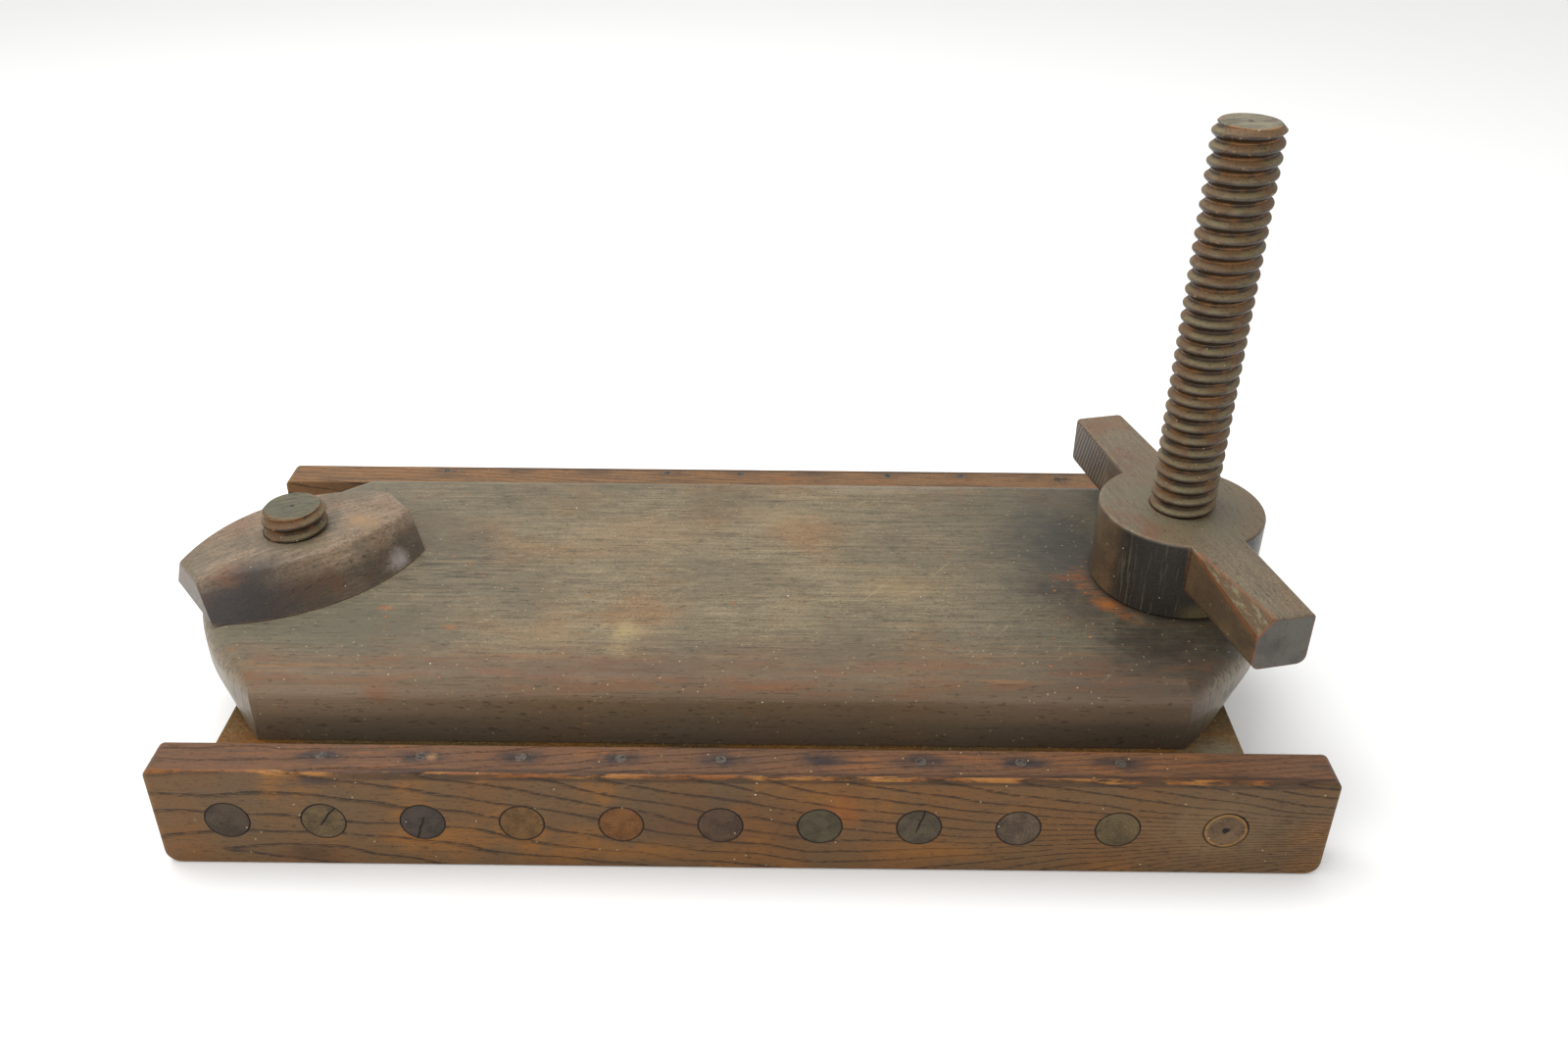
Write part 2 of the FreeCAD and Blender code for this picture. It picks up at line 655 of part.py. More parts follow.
def write_parts():
    """Writes each finished sub-part, which is what nothing else is made from."""
    used = {o.Name for o in doc.Objects if o.isDerivedFrom("Part::Feature")
            and any(not user.isDerivedFrom("App::Origin") for user in o.InList)}
    os.makedirs("parts", exist_ok=True)
    for part in doc.Objects:
        if not part.isDerivedFrom("Part::Feature") or part.Name in used:
            continue
        if part.Shape.isNull() or not part.Shape.isValid():
            raise RuntimeError(f"{part.Label} has no valid shape")
        part.Shape.exportStep(os.path.join("parts", part.Label + ".step"))
        box = part.Shape.optimalBoundingBox()
        print(f"{part.Label:24s} {len(part.Shape.Solids)} solid(s) {part.Shape.Volume:12.0f} mm3"
              f"  x {box.XMin:8.2f} {box.XMax:8.2f}  y {box.YMin:8.2f} {box.YMax:8.2f}"
              f"  z {box.ZMin:7.2f} {box.ZMax:7.2f}")


make_front_rail()
make_rear_rail()
make_bed()
make_pegs()
make_nails("front_rail_nails", "front_nail_inset - frame_depth / 2", FRONT_NAILED)
make_nails("rear_rail_nails", "frame_depth / 2 - rear_nail_inset", REAR_NAILED)
make_wood_screw()
make_screw("left_screw", "left", "left_screw_top")
make_screw("right_screw", "right", "right_screw_top")
make_platen()
make_left_nut()
make_wing_nut()
check_document()
write_parts()
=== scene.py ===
import math

import bpy
from mathutils import Matrix, Vector

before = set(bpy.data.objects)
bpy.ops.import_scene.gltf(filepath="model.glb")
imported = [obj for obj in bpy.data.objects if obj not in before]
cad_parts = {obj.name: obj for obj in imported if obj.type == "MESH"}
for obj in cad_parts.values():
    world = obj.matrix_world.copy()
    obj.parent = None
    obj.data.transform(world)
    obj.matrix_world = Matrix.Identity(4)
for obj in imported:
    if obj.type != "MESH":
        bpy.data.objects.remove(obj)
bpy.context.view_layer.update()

# The looks of a wooden bookbinding press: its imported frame, a plain white studio, and old wood
# made from nodes. Lengths are metres here, and millimetres inside the materials.

MM = 0.001


def reach(node):
    """The lowest and the highest corner of a CAD node's own mesh, in mm."""
    points = [corner.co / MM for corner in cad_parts[node].data.vertices]
    low = Vector(min(point[axis] for point in points) for axis in range(3))
    high = Vector(max(point[axis] for point in points) for axis in range(3))
    return low, high


def middle_of(node):
    """The middle of a CAD node's own mesh, in mm."""
    low, high = reach(node)
    return (low + high) / 2


FRONT_FACE = reach("front_rail")[0].y
REAR_FACE = reach("rear_rail")[1].y
RAIL_TOP = reach("front_rail")[1].z
PEG_HEIGHT = middle_of("front_peg_02").z
PEG_PITCH = middle_of("front_peg_03").x - middle_of("front_peg_02").x
PEG_ROW_MIDDLE = middle_of("front_rail_nails").x
SCREW_X = -middle_of("left_nut").x      # how far each screw stands from the press's middle
SCREW_RADIUS = reach("left_screw")[1].x + SCREW_X
BED_TOP = reach("bed_board")[1].z
PLATEN_TOP = reach("platen")[1].z
WING_TOP = reach("right_wing_nut")[1].z

# ---- camera and studio ------------------------------------------------------------------------

CAMERA_PLACE = (0.02942, -0.68705, 0.52952)
CAMERA_PITCH = 31.07            # degrees down from level
CAMERA_YAW = 0.14
CAMERA_ROLL = 0.52
CAMERA_LENS = 31.85             # mm, on a sensor 36 mm wide


def make_camera():
    """The camera at the photograph's place and angle."""
    camera = bpy.data.objects.new("camera", bpy.data.cameras.new("camera"))
    camera.data.sensor_width = 36
    camera.data.lens = CAMERA_LENS
    camera.data.clip_start = 0.01
    turn = (Matrix.Rotation(math.radians(CAMERA_YAW), 4, "Z")
            @ Matrix.Rotation(math.radians(90 - CAMERA_PITCH), 4, "X")
            @ Matrix.Rotation(math.radians(CAMERA_ROLL), 4, "Z"))
    camera.matrix_world = Matrix.Translation(CAMERA_PLACE) @ turn
    bpy.context.scene.collection.objects.link(camera)
    bpy.context.scene.camera = camera


def make_light(name, place, size, power, target=(0, 0, 0)):
    """A square soft light that faces a point."""
    light = bpy.data.lights.new(name, "AREA")
    light.size = size
    light.energy = power
    lamp = bpy.data.objects.new(name, light)
    away = Vector(place) - Vector(target)
    lamp.matrix_world = Matrix.Translation(place) @ away.to_track_quat("Z", "Y").to_matrix().to_4x4()
    bpy.context.scene.collection.objects.link(lamp)


def make_studio():
    """A white floor under a white sky, with two soft lights."""
    world = bpy.data.worlds.new("studio")
    world.use_nodes = True
    sky = world.node_tree.nodes["Background"]
    sky.inputs["Color"].default_value = (1.0, 1.0, 1.0, 1.0)
    sky.inputs["Strength"].default_value = 0.85
    bpy.context.scene.world = world
    bpy.context.scene.view_settings.view_transform = "Standard"

    half = 6.0
    mesh = bpy.data.meshes.new("floor")
    mesh.from_pydata([(-half, -half, 0), (half, -half, 0), (half, half, 0), (-half, half, 0)],
                     [], [(0, 1, 2, 3)])
    floor = bpy.data.objects.new("floor", mesh)
    bpy.context.scene.collection.objects.link(floor)
    shade = Shade("floor_paper")
    shade.finish(colour=(0.92, 0.92, 0.91, 1.0), roughness=0.7, specular=0.2)
    mesh.materials.append(shade.material)

    make_light("top_light", (-0.5, 0.35, 1.7), 1.4, 22)
    make_light("front_light", (-0.9, -1.5, 1.1), 1.2, 12)


# ---- shader nodes -----------------------------------------------------------------------------

def colour(red, green, blue):
    """A colour given as it looks, 0 to 1, turned into light."""
    light = [c / 12.92 if c <= 0.04045 else ((c + 0.055) / 1.055) ** 2.4
             for c in (red, green, blue)]
    return (*light, 1.0)


class Shade:
    """The nodes of one material. A value is another node's socket or a plain number or tuple."""

    def __init__(self, name):
        self.material = bpy.data.materials.new(name)
        self.material.use_nodes = True
        self.nodes = self.material.node_tree.nodes
        self.links = self.material.node_tree.links
        self.surface = self.nodes["Principled BSDF"]
        self.place = self.scaled(self.add("ShaderNodeTexCoord").outputs["Object"], 1 / MM)

    def add(self, kind):
        return self.nodes.new(kind)

    def feed(self, socket, value):
        """Links a socket to another, or sets its number."""
        if isinstance(value, bpy.types.NodeSocket):
            self.links.new(value, socket)
        else:
            socket.default_value = value

    def math(self, what, *values):
        node = self.add("ShaderNodeMath")
        node.operation = what
        for socket, value in zip(node.inputs, values):
            self.feed(socket, value)
        return node.outputs[0]

    def vector(self, what, *values):
        node = self.add("ShaderNodeVectorMath")
        node.operation = what
        for socket, value in zip(node.inputs, values):
            self.feed(socket, value)
        return node.outputs[0]

    def scaled(self, vector, by):
        """A vector times a number, or times a number for each axis."""
        by = (by, by, by) if isinstance(by, (int, float)) else by
        return self.vector("MULTIPLY", vector, by)

    def moved(self, vector, by):
        return self.vector("ADD", vector, by)

    def turned(self, vector, middle, degrees):
        """Coordinates about a middle, whose X axis is turned by an angle about Z."""
        node = self.add("ShaderNodeVectorRotate")
        node.rotation_type = "Z_AXIS"
        self.feed(node.inputs["Vector"], self.vector("SUBTRACT", vector, middle))
        node.inputs["Angle"].default_value = -math.radians(degrees)
        return node.outputs["Vector"]

    def length(self, vector):
        node = self.add("ShaderNodeVectorMath")
        node.operation = "LENGTH"
        self.feed(node.inputs[0], vector)
        return node.outputs["Value"]

    def split(self, vector):
        node = self.add("ShaderNodeSeparateXYZ")
        self.feed(node.inputs[0], vector)
        return node.outputs

    def join(self, x, y, z):
        node = self.add("ShaderNodeCombineXYZ")
        for socket, value in zip(node.inputs, (x, y, z)):
            self.feed(socket, value)
        return node.outputs[0]

    def noise(self, vector, detail=3.0, roughness=0.55):
        """Noise from 0 to 1 whose features are about one unit of the vector across."""
        node = self.add("ShaderNodeTexNoise")
        self.feed(node.inputs["Vector"], vector)
        node.inputs["Scale"].default_value = 1.0
        node.inputs["Detail"].default_value = detail
        node.inputs["Roughness"].default_value = roughness
        return node.outputs["Fac"]

    def step(self, value, low, high, to_low=0.0, to_high=1.0):
        """A smooth step: to_low below low, to_high above high."""
        node = self.add("ShaderNodeMapRange")
        node.interpolation_type = "SMOOTHSTEP"
        node.inputs["From Min"].default_value = low
        node.inputs["From Max"].default_value = high
        node.inputs["To Min"].default_value = to_low
        node.inputs["To Max"].default_value = to_high
        self.feed(node.inputs["Value"], value)
        return node.outputs["Result"]

    def mix(self, share, first, second):
        """Two colours mixed by a share from 0 to 1."""
        node = self.add("ShaderNodeMix")
        node.data_type = "RGBA"
        self.feed(node.inputs["Factor"], share)
        self.feed(node.inputs[6], first)
        self.feed(node.inputs[7], second)
        return node.outputs[2]

    def edges(self, reach):
        """0 on flat faces, rising to 1 on edges within a reach in mm."""
        bevel = self.add("ShaderNodeBevel")
        bevel.samples = 4
        bevel.inputs["Radius"].default_value = reach * MM
        normal = self.add("ShaderNodeNewGeometry").outputs["Normal"]
        node = self.add("ShaderNodeVectorMath")
        node.operation = "DOT_PRODUCT"
        self.feed(node.inputs[0], bevel.outputs["Normal"])
        self.feed(node.inputs[1], normal)
        return self.step(node.outputs["Value"], 0.985, 0.85)

    def facing_up(self):
        """1 on level upper faces and 0 on upright ones."""
        normal = self.add("ShaderNodeNewGeometry").outputs["True Normal"]
        return self.step(self.split(normal)[2], 0.3, 0.9)

    def bump(self, height, size):
        """Relief whose full height is size mm."""
        node = self.add("ShaderNodeBump")
        node.inputs["Distance"].default_value = size * MM
        self.feed(node.inputs["Height"], height)
        return node.outputs["Normal"]

    def finish(self, colour, roughness, normal=None, specular=0.5, metallic=0.0):
        """Connects the shader."""
        self.feed(self.surface.inputs["Base Color"], colour)
        self.feed(self.surface.inputs["Roughness"], roughness)
        self.surface.inputs["Specular IOR Level"].default_value = specular
        self.surface.inputs["Metallic"].default_value = metallic
        if normal is not None:
            self.feed(self.surface.inputs["Normal"], normal)


# ---- old wood ---------------------------------------------------------------------------------

BLACK = colour(0.07, 0.06, 0.05)
WORN_ORANGE = colour(0.56, 0.33, 0.14)
DUST = colour(0.62, 0.56, 0.42)
WHITE_SPECK = colour(0.85, 0.84, 0.80)


def fibres(shade, place, length, width, detail=6.0, roughness=0.7):
    """Streaks along X, from a length and width in mm down to hairlines."""
    stretched = shade.scaled(place, (1 / length, 1 / width, 1 / width))
    return shade.noise(stretched, detail, roughness)


def clouds(shade, place, size, detail=4.0):
    """Cloudy variation of a size in mm."""
    return shade.noise(shade.scaled(place, 1 / size), detail)


def dashes(shade, place, length, width, low=0.66, high=0.72):
    """Sparse short dark lines along X, as a mask."""
    return shade.step(fibres(shade, place, length, width, detail=1.0), low, high)


def specks(shade, place, spacing, size):
    """Sparse specks of a size in mm, as a mask."""
    node = shade.add("ShaderNodeTexVoronoi")
    shade.feed(node.inputs["Vector"], shade.scaled(place, 1 / spacing))
    node.inputs["Scale"].default_value = 1.0
    return shade.step(node.outputs["Distance"], size / spacing, size / spacing * 0.6)


def spot(shade, place, reach, strength=1.0):
    """A soft patch with a ragged edge: full at a place in mm, gone beyond its reach on each
    axis."""
    off = shade.scaled(shade.vector("SUBTRACT", shade.place, place), tuple(1 / r for r in reach))
    ragged = shade.math("MULTIPLY", clouds(shade, shade.place, 9.0, 6.0), 0.9)
    frayed = shade.math("MULTIPLY_ADD", fibres(shade, shade.place, 14.0, 1.5), 0.8, ragged)
    far = shade.math("ADD", shade.length(off), frayed)
    return shade.step(far, 1.75, 0.85, 0.0, strength)


def spots(shade, tint, marks):
    """Patches of other colours: each mark is a place, a reach, a colour and a strength."""
    for place, reach, paint, strength in marks:
        tint = shade.mix(spot(shade, place, reach, strength), tint, paint)
    return tint


def litter(shade, tint, place, amount=1.0):
    """Dark pits, tan and rusty flecks and a few white specks, which lie on every old surface
    here."""
    pits = dashes(shade, shade.moved(place, (70, 20, 50)), 6.0, 1.5, 0.64, 0.70)
    tint = shade.mix(shade.math("MULTIPLY", pits, 0.4), tint, BLACK)
    tint = shade.mix(specks(shade, place, 8.0, 0.55), tint, DUST)
    rusty = specks(shade, shade.moved(place, (11, 4, 9)), 13.0, 0.5 * amount)
    tint = shade.mix(rusty, tint, WORN_ORANGE)
    return shade.mix(specks(shade, shade.moved(place, (40, 90, 20)), 31.0, 0.55), tint, WHITE_SPECK)


def weathered(shade, place, light, dark, warm, grain=60.0):
    """The body colour of close-grained old wood and its relief: streaks along X, warm clouds
    and fine grit."""
    streaks = fibres(shade, place, grain, 2.0, roughness=0.8)
    cloud = clouds(shade, shade.moved(place, (3, 31, 9)), 60.0, 6.0)
    grit = clouds(shade, place, 1.5, 2.0)
    tint = shade.mix(shade.step(streaks, 0.30, 0.70), light, dark)
    tint = shade.mix(shade.step(cloud, 0.44, 0.66, 0.0, 0.8), tint, warm)
    lines = dashes(shade, place, grain * 0.5, 0.6, 0.70, 0.76)
    tint = shade.mix(shade.math("MULTIPLY", lines, 0.45), tint, BLACK)
    tint = shade.mix(shade.step(grit, 0.46, 0.72, 0.0, 0.36), tint, BLACK)
    tint = shade.mix(shade.step(grit, 0.48, 0.25, 0.0, 0.22), tint, DUST)
    raised = shade.math("MULTIPLY_ADD", grit, 0.3, streaks)
    return tint, shade.math("SUBTRACT", raised, lines)


def worn_edges(shade, tint, place, paint, reach=2.5, strength=0.8):
    """Broken lines of bared wood along the edges."""
    broken = shade.step(clouds(shade, shade.moved(place, (5, 2, 61)), 12.0), 0.36, 0.54)
    wear = shade.math("MULTIPLY", shade.edges(reach), broken)
    return shade.mix(shade.math("MULTIPLY", wear, strength), tint, paint)


# ---- rails ------------------------------------------------------------------------------------

OAK = colour(0.41, 0.275, 0.14)
OAK_GOLD = colour(0.50, 0.32, 0.12)
OAK_GREY = colour(0.36, 0.27, 0.17)
OAK_LINE = colour(0.14, 0.095, 0.06)
OAK_TOP = colour(0.40, 0.27, 0.18)
OAK_END = colour(0.46, 0.37, 0.20)
IRON_STAIN = colour(0.14, 0.13, 0.14)
RING_START = -290.0             # a rail's left end
RING_GAP = 14.0                 # between growth rings there
RING_CROWDING = 0.0022          # how fast they close up to the right
RING_LEAN = 0.085               # their rise to the right
RING_STEEPER = 0.30             # more of it low down at the right
RING_DEPTH = 1.6                # their fall behind the outer face
RING_WAVE = 2.4                 # how far they wander, in rings
HEART_PLACE = -225.0            # the V's point falls from here to the right
HEART_HEIGHT = 10.0
HEART_FALL = -0.16
STAIN_LENGTH = 17.0             # of the iron stain on each side of a nail
STAIN_WIDTH = 7.0
NAILED_LENGTH = 215.0           # the nails lie this near to the middle of the press
EDGE_WEAR = 3.8                 # width of the bared upper edge
EDGE_SEAM = 6.4                 # reach of the dark seam below it


def oak_rings(shade, place, face):
    """Growth rings on a rail, as a number whose whole part counts them. They lean and close up
    to the right, and meet in a V low at the left. face is the rail's outer surface in mm."""
    x, y, z = shade.split(place)
    crowd = shade.math("MULTIPLY_ADD", x, RING_CROWDING, 1 - RING_START * RING_CROWDING)
    past = shade.math("MAXIMUM", shade.math("SUBTRACT", x, HEART_PLACE), 0.0)
    heart = shade.math("MULTIPLY_ADD", past, HEART_FALL, HEART_HEIGHT)
    above = shade.math("SUBTRACT", z, heart)
    below = shade.math("SUBTRACT", heart, z)
    height = shade.math("SMOOTH_MAX", above, below, 2.0)
    right = shade.math("MULTIPLY", shade.step(x, 20.0, 300.0), shade.step(z, 45.0, 0.0))
    lean = shade.math("MULTIPLY_ADD", right, RING_STEEPER, RING_LEAN)
    height = shade.math("SUBTRACT", height, shade.math("MULTIPLY", x, lean))
    depth = shade.math("ABSOLUTE", shade.math("SUBTRACT", y, face))
    depth = shade.math("MULTIPLY", depth, RING_DEPTH)
    rings = shade.math("MULTIPLY", shade.math("SUBTRACT", height, depth), crowd)
    rings = shade.math("DIVIDE", rings, RING_GAP)
    wave = shade.noise(shade.scaled(place, (1 / 110, 1 / 45, 1 / 45)), 2.0)
    return shade.math("MULTIPLY_ADD", wave, RING_WAVE, rings)


def nail_stain(shade, place, nail_y):
    """Where iron has stained the oak round every nail, more along the grain than across it."""
    x, y, _ = shade.split(shade.place)
    from_last = shade.math("FLOORED_MODULO",
                           shade.math("ADD", x, PEG_PITCH / 2 - PEG_ROW_MIDDLE), PEG_PITCH)
    along = shade.math("DIVIDE", shade.math("SUBTRACT", from_last, PEG_PITCH / 2), STAIN_LENGTH)
    across = shade.math("DIVIDE", shade.math("SUBTRACT", y, nail_y), STAIN_WIDTH)
    away = shade.length(shade.join(along, across, 0.0))
    ragged = shade.math("ADD", away, shade.math("MULTIPLY", clouds(shade, place, 8.0), 1.3))
    nailed = shade.step(shade.math("ABSOLUTE", x), NAILED_LENGTH + 10, NAILED_LENGTH)
    return shade.math("MULTIPLY", shade.step(ragged, 1.8, 0.7), nailed)


def bared_edge(shade, tint, place, face, cloud, golden):
    """A rail's upper outer edge, bared by wear, with a dark seam below it."""
    x, y, z = shade.split(shade.place)
    below = shade.math("SUBTRACT", RAIL_TOP, z)
    inwards = shade.math("ABSOLUTE", shade.math("SUBTRACT", y, face))
    from_edge = shade.math("MULTIPLY_ADD", cloud, 3.0, shade.math("MAXIMUM", below, inwards))
    broken = shade.step(fibres(shade, place, 26.0, 4.0, 5.0), 0.46, 0.58)
    wear = shade.math("MULTIPLY", shade.step(from_edge, EDGE_WEAR, EDGE_WEAR - 1), broken)
    seam = shade.step(from_edge, EDGE_SEAM, EDGE_SEAM - 1.8)
    seam = shade.math("MULTIPLY", seam, shade.step(x, -230.0, -170.0))
    tint = shade.mix(shade.math("MULTIPLY", seam, 0.55), tint, OAK_LINE)
    bared = shade.mix(shade.step(golden, 0.42, 0.58),
                      colour(0.50, 0.30, 0.13), colour(0.62, 0.42, 0.20))
    return shade.mix(shade.math("MULTIPLY", wear, 0.8), tint, bared)


def rail_top(shade, place, tint, golden):
    """The colour of a rail's top: darker streaks and worn orange patches."""
    streaks = fibres(shade, shade.moved(place, (0, 0, 77)), 30.0, 3.0)
    top = shade.mix(shade.step(streaks, 0.30, 0.55, 0.40, 1.0), IRON_STAIN, tint)
    patches = shade.math("MULTIPLY", shade.step(streaks, 0.50, 0.70), shade.step(golden, 0.42, 0.58))
    return shade.mix(shade.math("MULTIPLY", patches, 0.75), top, WORN_ORANGE)


def oak(rail, seed, face, marks, top_tint=OAK_TOP, stained=0.85):
    """Oak of a rail: dark pore lines, a darker streaky top stained blue-black round its nails,
    and its upper outer edge worn to orange."""
    shade = Shade(rail + "_oak")
    place = shade.moved(shade.place, (seed * 97, 0, 0))
    ring = shade.math("FRACT", oak_rings(shade, place, face))
    zone = shade.math("MULTIPLY", shade.step(ring, 0.72, 0.93), shade.step(ring, 1.0, 0.97))
    pores = shade.step(fibres(shade, place, 7.0, 0.8, 2.0), 0.40, 0.54)
    lines = shade.math("MULTIPLY", zone, pores)
    short = dashes(shade, shade.moved(place, (9, 9, 9)), 6.0, 0.6, 0.60, 0.68)
    fine = fibres(shade, place, 40.0, 1.6)
    cloud = clouds(shade, place, 75.0, 5.0)
    golden = clouds(shade, shade.moved(place, (0, 50, 50)), 50.0, 5.0)
    grit = clouds(shade, place, 1.5, 2.0)
    x = shade.split(shade.place)[0]
    up = shade.facing_up()

    # the body colour, greyer to the right, and the top
    tint = shade.mix(shade.step(cloud, 0.40, 0.60), OAK_GREY, OAK)
    tint = shade.mix(shade.step(golden, 0.50, 0.68, 0.0, 0.85), tint, OAK_GOLD)
    tint = shade.mix(shade.step(x, 80.0, 260.0, 0.0, 0.4), tint, OAK_GREY)

    top = rail_top(shade, place, top_tint, golden)
    tint = shade.mix(shade.math("MULTIPLY", up, 0.9), tint, top)

    # grain and pores
    tint = shade.mix(shade.step(fine, 0.42, 0.72, 0.0, 0.45), tint, OAK_GREY)
    tint = shade.mix(shade.step(fine, 0.56, 0.78, 0.0, 0.45), tint, OAK_LINE)
    tint = shade.mix(shade.math("MULTIPLY", short, 0.3), tint, OAK_LINE)
    shown = shade.math("MULTIPLY_ADD", up, -0.5, 0.8)
    tint = shade.mix(shade.math("MULTIPLY", lines, shown), tint, OAK_LINE)
    tint = shade.mix(shade.step(grit, 0.52, 0.78, 0.0, 0.3), tint, BLACK)

    # stains and wear
    stain = shade.math("MULTIPLY", nail_stain(shade, place, middle_of(rail + "_nails").y), up)
    tint = shade.mix(shade.math("MULTIPLY", stain, stained), tint, IRON_STAIN)
    tint = spots(shade, tint, marks)
    tint = bared_edge(shade, tint, place, face, cloud, golden)
    low, high = reach(rail)
    half = (high.x - low.x) / 2
    from_middle = shade.math("ABSOLUTE", shade.math("SUBTRACT", x, middle_of(rail).x))
    ends = shade.math("MULTIPLY", shade.edges(3.0), shade.step(from_middle, half - 16, half - 6))
    tint = shade.mix(shade.math("MULTIPLY", ends, 0.75), tint, OAK_END)
    tint = litter(shade, tint, place)

    relief = shade.math("SUBTRACT", shade.math("MULTIPLY", fine, 0.5), lines)
    rough = shade.step(cloud, 0.3, 0.7, 0.40, 0.55)
    shade.finish(tint, rough, shade.bump(relief, 0.35), specular=0.22)
    return shade.material


def bed_wood():
    """The bed: olive-brown, with an orange tint beside the front rail."""
    shade = Shade("bed_wood")
    tint, relief = weathered(shade, shade.place, colour(0.42, 0.34, 0.20), colour(0.25, 0.19, 0.11),
                             colour(0.46, 0.30, 0.12))
    tint = spots(shade, tint, [
        ((-262, -128, BED_TOP), (34, 30, 8), colour(0.56, 0.34, 0.10), 0.8),
        ((262, -118, BED_TOP), (34, 34, 8), colour(0.43, 0.40, 0.32), 0.8)])
    tint = litter(shade, tint, shade.place)
    shade.finish(tint, 0.55, shade.bump(relief, 0.25), specular=0.2)
    return shade.material


# ---- pegs -------------------------------------------------------------------------------------

PEG_RADIUS = 11.5
PEG_RING = 1.9                  # mm between a peg's growth rings


def peg_gap(shade, flat, gap, gap_at):
    """A gap on one side of a peg's rim, as a mask; its dark colour is a painted shade. gap_at is
    in degrees from +X to +Z.
    """
    toward = math.radians(gap_at)
    shifted = shade.moved(flat, (math.cos(toward) * gap, 0.0, math.sin(toward) * gap))
    return shade.step(shade.length(shifted), PEG_RADIUS + gap * 0.45, PEG_RADIUS + 0.2 + gap * 0.6)


def peg_crack(shade, across, up, cloud, angle):
    """A crack from near a peg's middle to its rim, as a mask."""
    turn = math.radians(angle)
    side = shade.math("ADD", shade.math("MULTIPLY", across, -math.sin(turn)),
                      shade.math("MULTIPLY", up, math.cos(turn)))
    side = shade.math("MULTIPLY_ADD", shade.math("SUBTRACT", cloud, 0.5), 5.0, side)
    ahead = shade.math("ADD", shade.math("MULTIPLY", across, math.cos(turn)),
                       shade.math("MULTIPLY", up, math.sin(turn)))
    return shade.math("MULTIPLY", shade.step(shade.math("ABSOLUTE", side), 0.65, 0.30),
                      shade.step(ahead, -5.0, -2.0))


def peg_wood(node, seed, tint, face, gap, gap_at, crack=None, turned=False):
    """End grain of a peg's head: faint rings round a heart off its centre, a gap on one side of
    its rim and a thin ring round the rim, both painted dark as the shade where the peg meets its
    hole, and perhaps a crack, or a turned head with its centre's hole."""
    shade = Shade(node + "_wood")
    place = shade.moved(shade.place, (seed * 31, seed * 17, seed * 7))
    own = shade.vector("SUBTRACT", shade.place, (middle_of(node).x, face, PEG_HEIGHT))
    across, _, up = shade.split(own)
    flat = shade.join(across, 0.0, up)
    radius = shade.length(flat)
    grain = clouds(shade, place, 1.4, detail=2.0)
    cloud = clouds(shade, place, 9.0)
    dark = tuple(c * 0.55 for c in tint[:3]) + (1.0,)
    light = tuple(min(c * 1.3, 1) for c in tint[:3]) + (1.0,)
    body = shade.mix(shade.step(cloud, 0.35, 0.65), tint, dark)
    body = shade.mix(shade.step(grain, 0.45, 0.75, 0.0, 0.5), body, light)
    from_heart = shade.length(flat if turned else shade.moved(flat, (4.0, 0.0, 3.0)))
    ring = shade.math("MULTIPLY_ADD", cloud, 2.0, from_heart)
    ring = shade.math("FRACT", shade.math("DIVIDE", ring, PEG_RING))
    body = shade.mix(shade.step(ring, 0.6, 1.0, 0.0, 0.45), body, dark)
    relief = shade.math("MULTIPLY", grain, 0.5)
    if turned:
        rim = shade.step(radius, PEG_RADIUS - 2.3, PEG_RADIUS - 1.3)
        rim = shade.math("MULTIPLY", rim, shade.step(cloud, 0.35, 0.5))
        body = shade.mix(shade.math("MULTIPLY", rim, 0.8), body, colour(0.55, 0.40, 0.20))
        hole = shade.math("MULTIPLY_ADD", grain, 1.5, radius)
        body = shade.mix(shade.step(hole, 2.9, 2.2), body, BLACK)
    # painted shade in the gap at the rim
    open_rim = peg_gap(shade, flat, gap, gap_at)
    body = shade.mix(open_rim, body, BLACK)
    relief = shade.math("SUBTRACT", relief, open_rim)
    if crack is not None:
        split = peg_crack(shade, across, up, cloud, crack)
        body = shade.mix(split, body, BLACK)
        relief = shade.math("SUBTRACT", relief, split)
    # painted shade: a dark ring round the rim, where the peg meets its hole
    body = shade.mix(shade.step(radius, PEG_RADIUS - 1, PEG_RADIUS - 0.2, 0.0, 0.85), body, BLACK)
    body = litter(shade, body, place)
    shade.finish(body, 0.6, shade.bump(relief, 0.4), specular=0.2)
    return shade.material


FRONT_PEG_LOOKS = {
    "left_screw_pin": dict(tint=colour(0.27, 0.22, 0.17), gap=0.6, gap_at=0),
    "front_peg_02": dict(tint=colour(0.36, 0.29, 0.19), gap=1.6, gap_at=140, crack=55),
    "front_peg_03": dict(tint=colour(0.25, 0.21, 0.18), gap=0.5, gap_at=200, crack=250),
    "front_peg_04": dict(tint=colour(0.39, 0.28, 0.15), gap=0.4, gap_at=180),
    "front_peg_05": dict(tint=colour(0.42, 0.27, 0.13), gap=0.4, gap_at=190),
    "front_peg_06": dict(tint=colour(0.31, 0.23, 0.17), gap=0.4, gap_at=330),
    "front_peg_07": dict(tint=colour(0.29, 0.26, 0.19), gap=1.4, gap_at=215),
    "front_peg_08": dict(tint=colour(0.30, 0.26, 0.20), gap=0.8, gap_at=120, crack=80),
    "front_peg_09": dict(tint=colour(0.34, 0.28, 0.22), gap=0.9, gap_at=330),
    "front_peg_10": dict(tint=colour(0.35, 0.29, 0.19), gap=0.6, gap_at=30),
    "right_screw_pin": dict(tint=colour(0.40, 0.31, 0.22), gap=1.8, gap_at=45, turned=True),
}


